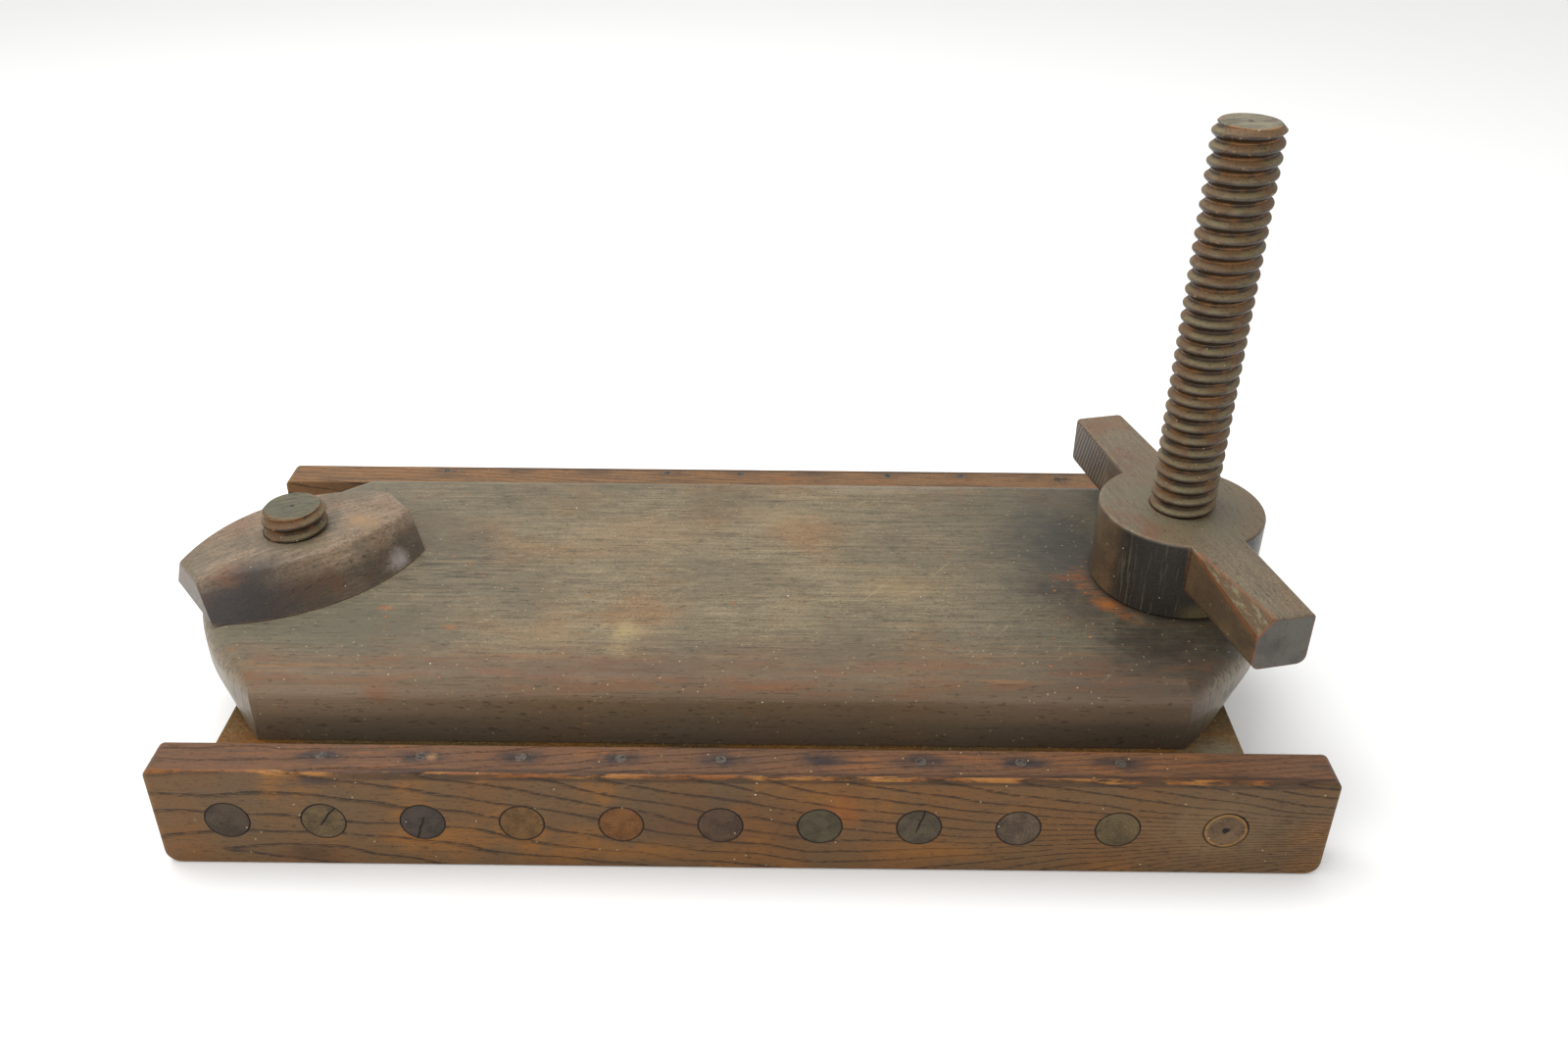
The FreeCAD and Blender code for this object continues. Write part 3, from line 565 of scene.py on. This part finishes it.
def paint_pegs():
    """Each peg that shows at the front has its own look, and the rear ones take turns."""
    tints = [look["tint"] for look in FRONT_PEG_LOOKS.values()]
    for seed, (node, look) in enumerate(FRONT_PEG_LOOKS.items()):
        paint(node, peg_wood(node, seed, face=FRONT_FACE, **look))
    rear = sorted(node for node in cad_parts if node.startswith("rear") and "peg" in node)
    for seed, node in enumerate(rear, start=len(tints)):
        paint(node, peg_wood(node, seed, tints[seed * 5 % len(tints)], REAR_FACE,
                             gap=0.5 + seed % 3 * 0.4, gap_at=seed * 75,
                             crack=seed * 40 if seed % 4 == 0 else None))


# ---- platen and nuts --------------------------------------------------------------------------

WING_MIDDLE = (SCREW_X, 0, 0)
WING_TURN = 103.5               # degrees from +X to the rear arm
LEFT_NUT_TURN = 39.0            # degrees from +X to the short nut's length
HUB_RADIUS = 46.5
ARM_END = 115.5                 # from the screw, along each arm
BEVEL_START = 50.0              # from the screw, along the front arm
BEVEL_WIDTH = 7.0
BEVEL_HEIGHT = 9.5
ARM_SIDE = 17.25                # from the arm's middle line, at the screw
ARM_NARROWING = -0.0152


def hub_rubs_and_shadow(shade, tint, place, depth):
    """An arc of rusty wood, bared by the wing nut's hub, to the left of and before it, and a
    painted shadow on the board close round the hub.
    """
    x, y, _ = shade.split(shade.vector("SUBTRACT", place, WING_MIDDLE))
    radius = shade.length(shade.join(x, y, 0.0))
    frayed = fibres(shade, place, 16.0, 2.2)
    ring = shade.math("ABSOLUTE", shade.math("SUBTRACT", radius, HUB_RADIUS + 6.5))
    ring = shade.math("MULTIPLY_ADD", frayed, 14.0, ring)
    sector = shade.math("MULTIPLY", shade.step(x, -22.0, -34.0), shade.step(y, 12.0, 0.0))
    torn = shade.step(fibres(shade, shade.moved(place, (2, 7, 1)), 9.0, 1.3), 0.46, 0.58)
    arc = shade.math("MULTIPLY", shade.step(ring, 15.5, 11.0), sector)
    arc = shade.math("MULTIPLY", arc, shade.math("MULTIPLY", torn, shade.step(depth, 4.5, 1.5)))
    tint = shade.mix(shade.math("MULTIPLY", arc, 0.6), tint, colour(0.52, 0.29, 0.10))
    # painted shadow: darker on the board close round the hub
    under = shade.math("MULTIPLY_ADD", frayed, 8.0, radius)
    shadow = shade.step(under, HUB_RADIUS + 9.5, HUB_RADIUS + 3.5)
    return shade.mix(shade.math("MULTIPLY", shadow, 0.7), tint, colour(0.14, 0.11, 0.09))


PLATEN_MARK = PLATEN_TOP - 0.5
PLATEN_MARKS = [
    # darker and redder towards the front
    ((40, -78, PLATEN_MARK), (170, 26, 8), colour(0.34, 0.27, 0.20), 0.5),
    ((-185, -62, PLATEN_MARK), (95, 40, 6), colour(0.31, 0.28, 0.22), 0.5),
    ((-60, -98, PLATEN_MARK), (170, 22, 6), colour(0.34, 0.24, 0.17), 0.5),
    # painted shade beside the tall nut's hub
    ((205, -30, PLATEN_MARK), (48, 44, 6), colour(0.18, 0.15, 0.12), 0.65),
    ((100, 104, PLATEN_MARK), (90, 18, 8), colour(0.56, 0.52, 0.45), 0.4),
    # tan patches
    ((-59, -63, PLATEN_MARK), (17, 15, 8), colour(0.62, 0.54, 0.37), 0.6),
    ((-60, -80, PLATEN_MARK), (15, 11, 8), colour(0.58, 0.49, 0.34), 0.5),
    ((-98, -68, PLATEN_MARK), (30, 16, 8), colour(0.56, 0.45, 0.30), 0.4),
    ((95, -17, PLATEN_MARK), (40, 24, 8), colour(0.58, 0.48, 0.33), 0.4),
    ((20, 60, PLATEN_MARK), (44, 28, 8), colour(0.58, 0.50, 0.37), 0.35),
    ((-60, 40, PLATEN_MARK), (70, 34, 8), colour(0.54, 0.45, 0.33), 0.3),
    # painted shade beside the nuts, darker where they shade the board
    ((-165, 22, PLATEN_MARK), (46, 34, 8), colour(0.30, 0.27, 0.22), 0.55),
    ((-215, -60, PLATEN_MARK), (54, 38, 10), colour(0.36, 0.34, 0.28), 0.55),
    ((200, 30, PLATEN_MARK), (58, 70, 8), colour(0.20, 0.19, 0.17), 0.8),
    ((240, -72, PLATEN_MARK), (54, 40, 10), colour(0.18, 0.16, 0.13), 0.8),
    ((226, -64, PLATEN_MARK), (44, 34, 6), colour(0.16, 0.13, 0.10), 0.6),
    # rusty spots
    ((-196, -43, PLATEN_MARK), (9, 4, 4), colour(0.56, 0.33, 0.16), 0.6),
    ((-156, -61, PLATEN_MARK), (8, 4, 4), colour(0.56, 0.34, 0.16), 0.6),
    ((178, -15, PLATEN_MARK), (34, 20, 6), colour(0.17, 0.14, 0.11), 0.6),
    ((195, -4, PLATEN_MARK), (19, 7, 6), colour(0.42, 0.23, 0.10), 0.8),
    ((213, -32, PLATEN_MARK), (13, 9, 6), colour(0.60, 0.34, 0.10), 0.8),
    ((-184, -112, 76), (18, 10, 10), colour(0.48, 0.30, 0.17), 0.5),
]


def platen_top(shade, tint, place, cloud):
    """Broad tones of the board's top and the fine mottle over them."""
    x = shade.split(place)[0]
    tint = shade.mix(shade.step(cloud, 0.32, 0.68, 0.0, 0.65), tint, colour(0.34, 0.31, 0.24))
    mottle = shade.noise(shade.scaled(place, (1 / 12, 1 / 5, 1 / 5)), 6.0, 0.8)
    tint = shade.mix(shade.step(mottle, 0.50, 0.66, 0.0, 0.5), tint, colour(0.25, 0.22, 0.16))
    tint = shade.mix(shade.step(mottle, 0.46, 0.30, 0.0, 0.4), tint, colour(0.60, 0.54, 0.42))
    tint = shade.mix(shade.step(x, 60.0, 220.0, 0.0, 0.65), tint, colour(0.25, 0.24, 0.20))
    return shade.mix(shade.step(x, -130.0, -260.0, 0.0, 0.45), tint, colour(0.36, 0.35, 0.30))


def platen_front(shade, tint, place, cloud, depth):
    """The board's front: redder along its upper edge, with a painted sheen where it rounds over,
    darker below, partly as a painted shade of the front rail, and darker at the right. depth is
    measured down from the board's top."""
    x, y, _ = shade.split(place)
    streaks = fibres(shade, shade.moved(place, (8, 8, 8)), 90.0, 4.0)
    front = shade.step(y, -62.0, -112.0)
    tint = shade.mix(shade.math("MULTIPLY", front, 0.65), tint, colour(0.37, 0.29, 0.21))
    band = shade.math("MULTIPLY", shade.step(y, -70.0, -100.0), shade.step(depth, 12.5, 3.5))
    broad = shade.step(fibres(shade, shade.moved(place, (6, 60, 6)), 46.0, 9.0, 6.0), 0.46, 0.62)
    broad = shade.math("MULTIPLY", broad, band)
    tint = shade.mix(shade.math("MULTIPLY", broad, 0.6), tint, colour(0.44, 0.28, 0.17))
    rusty = shade.math("MULTIPLY", shade.step(streaks, 0.52, 0.70), band)
    tint = shade.mix(shade.math("MULTIPLY", rusty, 0.3), tint, colour(0.55, 0.34, 0.17))
    thread = shade.math("MULTIPLY", shade.step(streaks, 0.54, 0.68), shade.step(cloud, 0.62, 0.45))
    tint = shade.mix(shade.math("MULTIPLY", thread, 0.25), tint, colour(0.56, 0.42, 0.26))
    # painted sheen: lighter where the front edge rounds over, more towards the ends
    painted_sheen = shade.math("MULTIPLY", shade.step(depth, 2.5, 9.5), shade.step(depth, 28.5, 18.5))
    outer = shade.step(shade.math("ABSOLUTE", x), 60.0, 220.0, 0.15, 0.55)
    tint = shade.mix(shade.math("MULTIPLY", painted_sheen, outer), tint, colour(0.56, 0.47, 0.39))
    # darker low on the front: partly dark wood, partly a painted shade of the front rail
    side = shade.step(depth, 12.5, 30.5)
    tint = shade.mix(shade.math("MULTIPLY", side, 0.6), tint, colour(0.38, 0.34, 0.29))
    dark_right = shade.math("MULTIPLY", shade.step(x, 120.0, 235.0), shade.step(y, -60.0, -100.0))
    return shade.mix(shade.math("MULTIPLY", dark_right, 0.4), tint, colour(0.17, 0.15, 0.14))


def platen_ends(shade, tint, place, depth):
    """Bared end grain round the board's two ends."""
    x = shade.split(place)[0]
    ends = shade.step(shade.math("ABSOLUTE", x), 246.0, 262.0)
    bared = shade.math("MULTIPLY", ends, shade.step(depth, 1.5, 7.5))
    end_grain = shade.noise(shade.scaled(place, (1 / 1.5, 1 / 1.5, 1 / 14)), 3.0)
    pale = shade.mix(shade.step(end_grain, 0.4, 0.65),
                     colour(0.50, 0.45, 0.36), colour(0.30, 0.26, 0.21))
    return shade.mix(shade.math("MULTIPLY", bared, 0.8), tint, pale)


def platen_wood():
    """The pressing board: olive-grey and dusty above, with a warmer front edge, darker smoother
    sides that are partly painted shade, a painted sheen where the front rounds over, and rusty
    rubbed arcs and a painted shadow beside the wing nut."""
    shade = Shade("platen_wood")
    place = shade.place
    tint, relief = weathered(shade, place, colour(0.55, 0.49, 0.38), colour(0.36, 0.31, 0.23),
                             colour(0.49, 0.37, 0.24), grain=60.0)
    cloud = clouds(shade, shade.moved(place, (55, 5, 5)), 70.0, 6.0)
    depth = shade.math("SUBTRACT", PLATEN_TOP, shade.split(place)[2])
    tint = platen_top(shade, tint, place, cloud)
    tint = platen_front(shade, tint, place, cloud, depth)
    rubbed = shade.turned(place, (0, 0, 0), 52)
    rubs = shade.step(fibres(shade, rubbed, 38.0, 5.0), 0.60, 0.72)
    rubs = shade.math("MULTIPLY", rubs, shade.step(cloud, 0.55, 0.45))
    tint = shade.mix(shade.math("MULTIPLY", rubs, 0.35), tint, DUST)
    beside_nut = shade.math("MULTIPLY", dashes(shade, place, 34.0, 1.6, 0.52, 0.60),
                            spot(shade, (-172, -6, PLATEN_MARK), (60, 40, 8)))
    tint = shade.mix(shade.math("MULTIPLY", beside_nut, 0.8), tint, BLACK)
    tint = spots(shade, tint, PLATEN_MARKS)
    tint = hub_rubs_and_shadow(shade, tint, place, depth)
    tint = platen_ends(shade, tint, place, depth)
    tint = shade.mix(specks(shade, shade.moved(place, (7, 3, 2)), 22.0, 1.1), tint, WORN_ORANGE)
    tint = shade.mix(specks(shade, shade.moved(place, (3, 8, 6)), 6.0, 0.5), tint, DUST)
    tint = litter(shade, tint, place, 1.5)
    rough = shade.step(depth, 2.5, 14.5, 0.50, 0.33)
    shade.finish(tint, rough, shade.bump(relief, 0.3), specular=0.32)
    return shade.material


def left_nut_wood():
    """The short nut: dark reddish brown with a greenish-grey top, near black at its lower left,
    partly stain and partly painted shade, and a grey scuff at its right end. Its grain runs
    along it."""
    shade = Shade("left_nut_wood")
    place = shade.turned(shade.place, (-SCREW_X, 0, 0), LEFT_NUT_TURN)
    tint, relief = weathered(shade, place, colour(0.58, 0.50, 0.41), colour(0.41, 0.34, 0.27),
                             colour(0.45, 0.35, 0.26), grain=30.0)
    greenish = clouds(shade, shade.moved(place, (9, 40, 9)), 26.0)
    tint = shade.mix(shade.step(greenish, 0.46, 0.60, 0.0, 0.5), tint, colour(0.33, 0.31, 0.25))
    x, y, z = shade.split(place)
    tint = shade.mix(shade.step(z, 103.0, 94.0, 0.0, 0.7), tint, colour(0.18, 0.14, 0.10))
    warm_side = clouds(shade, shade.moved(place, (30, 3, 50)), 22.0, 5.0)
    warm_side = shade.math("MULTIPLY", shade.step(warm_side, 0.48, 0.62), shade.step(z, 105.0, 97.0))
    tint = shade.mix(shade.math("MULTIPLY", warm_side, 0.5), tint, colour(0.34, 0.23, 0.14))
    # near black at the lower left end: partly dark stain, partly painted shade
    low_left = shade.math("MULTIPLY", shade.step(x, 5.0, -45.0), shade.step(y, -8.0, -28.0))
    tint = shade.mix(shade.math("MULTIPLY", low_left, 0.85), tint, colour(0.14, 0.12, 0.12))
    tint = spots(shade, tint, [
        ((-197, -1, 88), (13, 13, 9), colour(0.60, 0.56, 0.54), 0.75),
        ((-222, 10, 106), (17, 14, 8), colour(0.58, 0.46, 0.31), 0.7),
        ((-246, -18, 108), (22, 16, 8), colour(0.36, 0.34, 0.26), 0.6),
        ((-281, -44, 104), (17, 13, 8), colour(0.44, 0.29, 0.19), 0.6)])
    tint = worn_edges(shade, tint, place, colour(0.50, 0.36, 0.24), reach=1.5, strength=0.3)
    tint = litter(shade, tint, place)
    rough = shade.step(z, 108.0, 96.0, 0.50, 0.36)
    shade.finish(tint, rough, shade.bump(relief, 0.35), specular=0.32)
    return shade.material


def wing_bevel(shade, along, across, z):
    """The bevel of the wing nut's front arm and the worn line above it, as two masks."""
    out = shade.math("MULTIPLY", along, -1.0)
    share = shade.math("SUBTRACT", out, BEVEL_START)
    share = shade.math("DIVIDE", share, ARM_END - BEVEL_START)
    side = shade.math("MULTIPLY_ADD", out, ARM_NARROWING, ARM_SIDE)
    inwards = shade.math("DIVIDE", shade.math("SUBTRACT", side, across), BEVEL_WIDTH)
    down = shade.math("DIVIDE", shade.math("SUBTRACT", WING_TOP, z), BEVEL_HEIGHT)
    above = shade.math("SUBTRACT", shade.math("ADD", inwards, down), share)
    front = shade.step(out, 44.0, 54.0)
    face = shade.math("MULTIPLY", shade.step(above, 0.12, 0.04), front)
    line = shade.math("MULTIPLY", shade.step(above, 0.42, 0.12), front)
    return face, shade.math("SUBTRACT", line, face)


def wing_sides(shade, tint, level, radius, along, worn):
    """The wing nut's upright faces: brown to the left, near black in front of the hub, partly
    stain and partly painted shade, with lighter tool lines, and dark at the arms' ends."""
    x, y, z = shade.split(shade.vector("SUBTRACT", shade.place, WING_MIDDLE))
    upright = fibres(shade, shade.join(z, x, y), 30.0, 1.8)
    side = shade.mix(shade.step(worn, 0.36, 0.62), colour(0.35, 0.27, 0.18), colour(0.26, 0.20, 0.14))
    side = shade.mix(shade.step(upright, 0.52, 0.70, 0.0, 0.5), side, colour(0.19, 0.15, 0.11))
    tint = shade.mix(shade.math("MULTIPLY", level, 0.85), tint, side)
    hub = shade.step(radius, HUB_RADIUS + 2, HUB_RADIUS + 0.3)
    front = shade.math("MULTIPLY", shade.step(y, -20.0, -30.0), hub)
    black = shade.mix(shade.step(upright, 0.52, 0.68, 0.0, 0.5),
                      colour(0.15, 0.14, 0.13), colour(0.42, 0.39, 0.30))
    # the near black front of the hub: partly dark stain, partly painted shade
    front_stain_and_shade = shade.math("MULTIPLY", shade.math("MULTIPLY", front, level), 0.92)
    tint = shade.mix(front_stain_and_shade, tint, black)
    low = shade.math("MULTIPLY", front, shade.step(z, 96.0, 86.0))
    low = shade.math("MULTIPLY", low, shade.step(x, -12.0, 8.0))
    tint = shade.mix(shade.math("MULTIPLY", low, 0.5), tint, colour(0.50, 0.45, 0.30))
    ends = shade.step(shade.math("ABSOLUTE", along), ARM_END - 0.9, ARM_END - 0.2)
    smooth = shade.mix(shade.step(worn, 0.4, 0.65), colour(0.33, 0.31, 0.28), colour(0.24, 0.22, 0.20))
    return shade.mix(shade.math("MULTIPLY", ends, level), tint, smooth)


def saw_marks(shade, level, along, across):
    """Slanting saw marks on the rear arm's left side, as a mask."""
    z = shade.split(shade.place)[2]
    slant = shade.math("MULTIPLY_ADD", z, 0.35, along)
    teeth = shade.step(shade.math("SINE", shade.math("MULTIPLY", slant, 1.75)), 0.0, 0.9)
    where = shade.math("MULTIPLY", shade.step(along, 62.0, 68.0), shade.step(across, 14.0, 15.0))
    return shade.math("MULTIPLY", teeth, shade.math("MULTIPLY", where, level))


def wing_nut_wood():
    """The tall nut: olive-grey satin above, darker upright faces, saw marks on one arm and a
    chipped bevel on the other, and edges worn red-orange. Its grain runs along its arms."""
    shade = Shade("wing_nut_wood")
    place = shade.turned(shade.place, WING_MIDDLE, WING_TURN)
    tint, relief = weathered(shade, place, colour(0.46, 0.41, 0.32), colour(0.36, 0.31, 0.25),
                             colour(0.44, 0.34, 0.24), grain=50.0)
    x, y, z = shade.split(shade.vector("SUBTRACT", shade.place, WING_MIDDLE))
    along, across, _ = shade.split(place)
    up = shade.facing_up()
    level = shade.math("SUBTRACT", 1.0, up)
    radius = shade.length(shade.join(x, y, 0.0))
    worn = clouds(shade, place, 24.0)
    top = shade.math("MULTIPLY", shade.step(radius, 60.0, 30.0), up)
    tint = shade.mix(shade.math("MULTIPLY", top, 0.6), tint, colour(0.40, 0.37, 0.29))
    reddish = shade.math("MULTIPLY", shade.step(worn, 0.50, 0.62), shade.step(x, 20.0, -30.0))
    tint = shade.mix(shade.math("MULTIPLY", reddish, 0.55), tint, colour(0.42, 0.29, 0.21))
    tint = wing_sides(shade, tint, level, radius, along, worn)
    teeth = saw_marks(shade, level, along, across)
    tint = shade.mix(shade.math("MULTIPLY", teeth, 0.55), tint, BLACK)

    face, line = wing_bevel(shade, along, across, z)
    chips = fibres(shade, place, 8.0, 2.5)
    chipped = shade.mix(shade.step(chips, 0.52, 0.64),
                        colour(0.33, 0.25, 0.15), colour(0.45, 0.42, 0.31))
    tint = shade.mix(shade.math("MULTIPLY", face, 0.85), tint, chipped)
    tint = shade.mix(shade.math("MULTIPLY", line, 0.65), tint, colour(0.50, 0.28, 0.13))
    rubbed = shade.step(z, 88.0, 100.0, 0.0, 0.7)
    tint = worn_edges(shade, tint, place, colour(0.50, 0.28, 0.15), reach=2.2, strength=rubbed)
    tint = litter(shade, tint, place)
    relief = shade.math("SUBTRACT", relief, teeth)
    shade.finish(tint, shade.step(up, 0.0, 1.0, 0.34, 0.44), shade.bump(relief, 0.3), specular=0.32)
    return shade.material


# ---- screws and iron --------------------------------------------------------------------------

def screw_wood(screw, seed, middle, sawn_tints, rim_wear):
    """Wood of a screw: khaki dust on the upper flanks, satin brown crests with chips, under sides
    painted dark as shade, orange-brown roots, and a grey-green sawn top."""
    shade = Shade(screw + "_wood")
    place = shade.moved(shade.place, (seed * 41, seed * 19, 0))
    x, y, z = shade.split(shade.vector("SUBTRACT", shade.place, (middle, 0.0, 0.0)))
    cloud = clouds(shade, place, 14.0)
    fine = clouds(shade, place, 1.2, 2.0)
    straight = shade.length(shade.join(x, y, 0.0))
    radius = shade.math("MULTIPLY_ADD", cloud, 1.2, shade.math("SUBTRACT", straight, 0.6))
    slope = shade.split(shade.add("ShaderNodeNewGeometry").outputs["Normal"])[2]
    khaki = shade.mix(shade.step(cloud, 0.38, 0.60), colour(0.42, 0.37, 0.25), colour(0.38, 0.28, 0.17))
    crest = shade.mix(shade.step(cloud, 0.4, 0.6), colour(0.30, 0.26, 0.21), colour(0.24, 0.18, 0.13))
    root = shade.mix(shade.step(cloud, 0.40, 0.60), colour(0.22, 0.16, 0.10), colour(0.42, 0.28, 0.13))
    # painted shade: faces turned downwards go dark
    tint = shade.mix(shade.step(slope, -0.15, -0.55), crest, colour(0.15, 0.11, 0.08))
    tint = shade.mix(shade.step(slope, 0.15, 0.60), tint, khaki)
    near_root = shade.step(radius, SCREW_RADIUS - 1.45, SCREW_RADIUS - 2.65)
    tint = shade.mix(near_root, tint, root)
    tint = shade.mix(shade.step(fine, 0.48, 0.75, 0.0, 0.45), tint, BLACK)
    chips = shade.step(clouds(shade, place, 4.0), 0.60, 0.66)
    crests = shade.step(radius, SCREW_RADIUS - 0.25, SCREW_RADIUS + 0.15)
    chips = shade.math("MULTIPLY", chips, crests)
    tint = shade.mix(shade.math("MULTIPLY", chips, 0.7), tint, colour(0.58, 0.42, 0.24))
    top = reach(screw)[1].z
    disc = shade.step(z, top - 0.5, top - 0.2)
    sawn = fibres(shade, shade.turned(place, (0, 0, 0), 20), 16.0, 1.2)
    face = shade.mix(shade.step(sawn, 0.40, 0.62), *sawn_tints)
    face = shade.mix(shade.step(straight, 1.6, 0.9), face, BLACK)
    rim = shade.math("MULTIPLY", shade.step(straight, 13.2, 14.6), shade.step(cloud, 0.50, 0.58))
    face = shade.mix(shade.math("MULTIPLY", rim, rim_wear), face, colour(0.56, 0.39, 0.20))
    tint = shade.mix(disc, tint, face)
    tint = litter(shade, tint, place)
    rough = shade.step(slope, 0.0, 0.6, 0.26, 0.6)
    shade.finish(tint, rough, shade.bump(shade.math("ADD", fine, sawn), 0.2), specular=0.4)
    return shade.material


def iron(name, tint, rust):
    """Dull old iron."""
    shade = Shade(name)
    cloud = clouds(shade, shade.place, 2.0, detail=4.0)
    mixed = shade.mix(shade.step(cloud, 0.4, 0.65), tint, rust)
    mixed = shade.mix(shade.math("MULTIPLY", shade.edges(0.6), 0.5), mixed, DUST)
    shade.finish(mixed, shade.step(cloud, 0.3, 0.7, 0.45, 0.7), shade.bump(cloud, 0.25), metallic=0.35)
    return shade.material


def paint(node, material):
    """Gives a CAD node a material."""
    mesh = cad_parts[node].data
    mesh.materials.clear()
    mesh.materials.append(material)


FRONT_RAIL_MARKS = [
    ((-207, FRONT_FACE, 57), (20, 8, 6), IRON_STAIN, 0.8),
    ((-215, FRONT_FACE, 8), (26, 8, 12), OAK_LINE, 0.5),
    ((-122, FRONT_FACE, 60), (7, 8, 6), colour(0.50, 0.33, 0.18), 0.7),
    ((-42, FRONT_FACE, 12), (50, 8, 12), OAK_GOLD, 0.7),
    ((-293, -150, 40), (5, 30, 40), colour(0.48, 0.38, 0.22), 0.6),
    ((60, FRONT_FACE, 40), (16, 8, 18), colour(0.52, 0.29, 0.11), 0.6),
    ((110, FRONT_FACE, 14), (60, 8, 12), OAK_GOLD, 0.6),
    ((-150, -146, RAIL_TOP), (5, 4, 4), colour(0.55, 0.42, 0.28), 0.8),
    ((0, FRONT_FACE, 34), (110, 8, 36), colour(0.27, 0.18, 0.11), 0.45),
    ((250, FRONT_FACE, 30), (50, 8, 34), colour(0.44, 0.35, 0.24), 0.6),
]
REAR_RAIL_MARKS = [((218, 149, RAIL_TOP), (16, 12, 6), IRON_STAIN, 0.5)]


def paint_all():
    """Every CAD node's material."""
    paint("front_rail", oak("front_rail", 0, FRONT_FACE, FRONT_RAIL_MARKS))
    paint("rear_rail", oak("rear_rail", 3, REAR_FACE, REAR_RAIL_MARKS,
                           top_tint=colour(0.50, 0.37, 0.24), stained=0.35))
    paint("bed_board", bed_wood())
    paint("platen", platen_wood())
    paint("left_nut", left_nut_wood())
    paint("right_wing_nut", wing_nut_wood())
    mossy = (colour(0.37, 0.35, 0.27), colour(0.25, 0.23, 0.17))
    paint("left_screw", screw_wood("left_screw", 1, -SCREW_X, mossy, rim_wear=0.2))
    grey = (colour(0.50, 0.47, 0.38), colour(0.28, 0.25, 0.20))
    paint("right_screw", screw_wood("right_screw", 2, SCREW_X, grey, rim_wear=0.6))
    paint_pegs()
    nails = iron("nail_iron", colour(0.30, 0.27, 0.24), colour(0.16, 0.13, 0.11))
    paint("front_rail_nails", nails)
    paint("rear_rail_nails", nails)
    paint("rear_rail_wood_screw",
          iron("wood_screw_iron", colour(0.40, 0.30, 0.22), colour(0.24, 0.17, 0.12)))


make_camera()
make_studio()
paint_all()

bpy.context.view_layer.update()
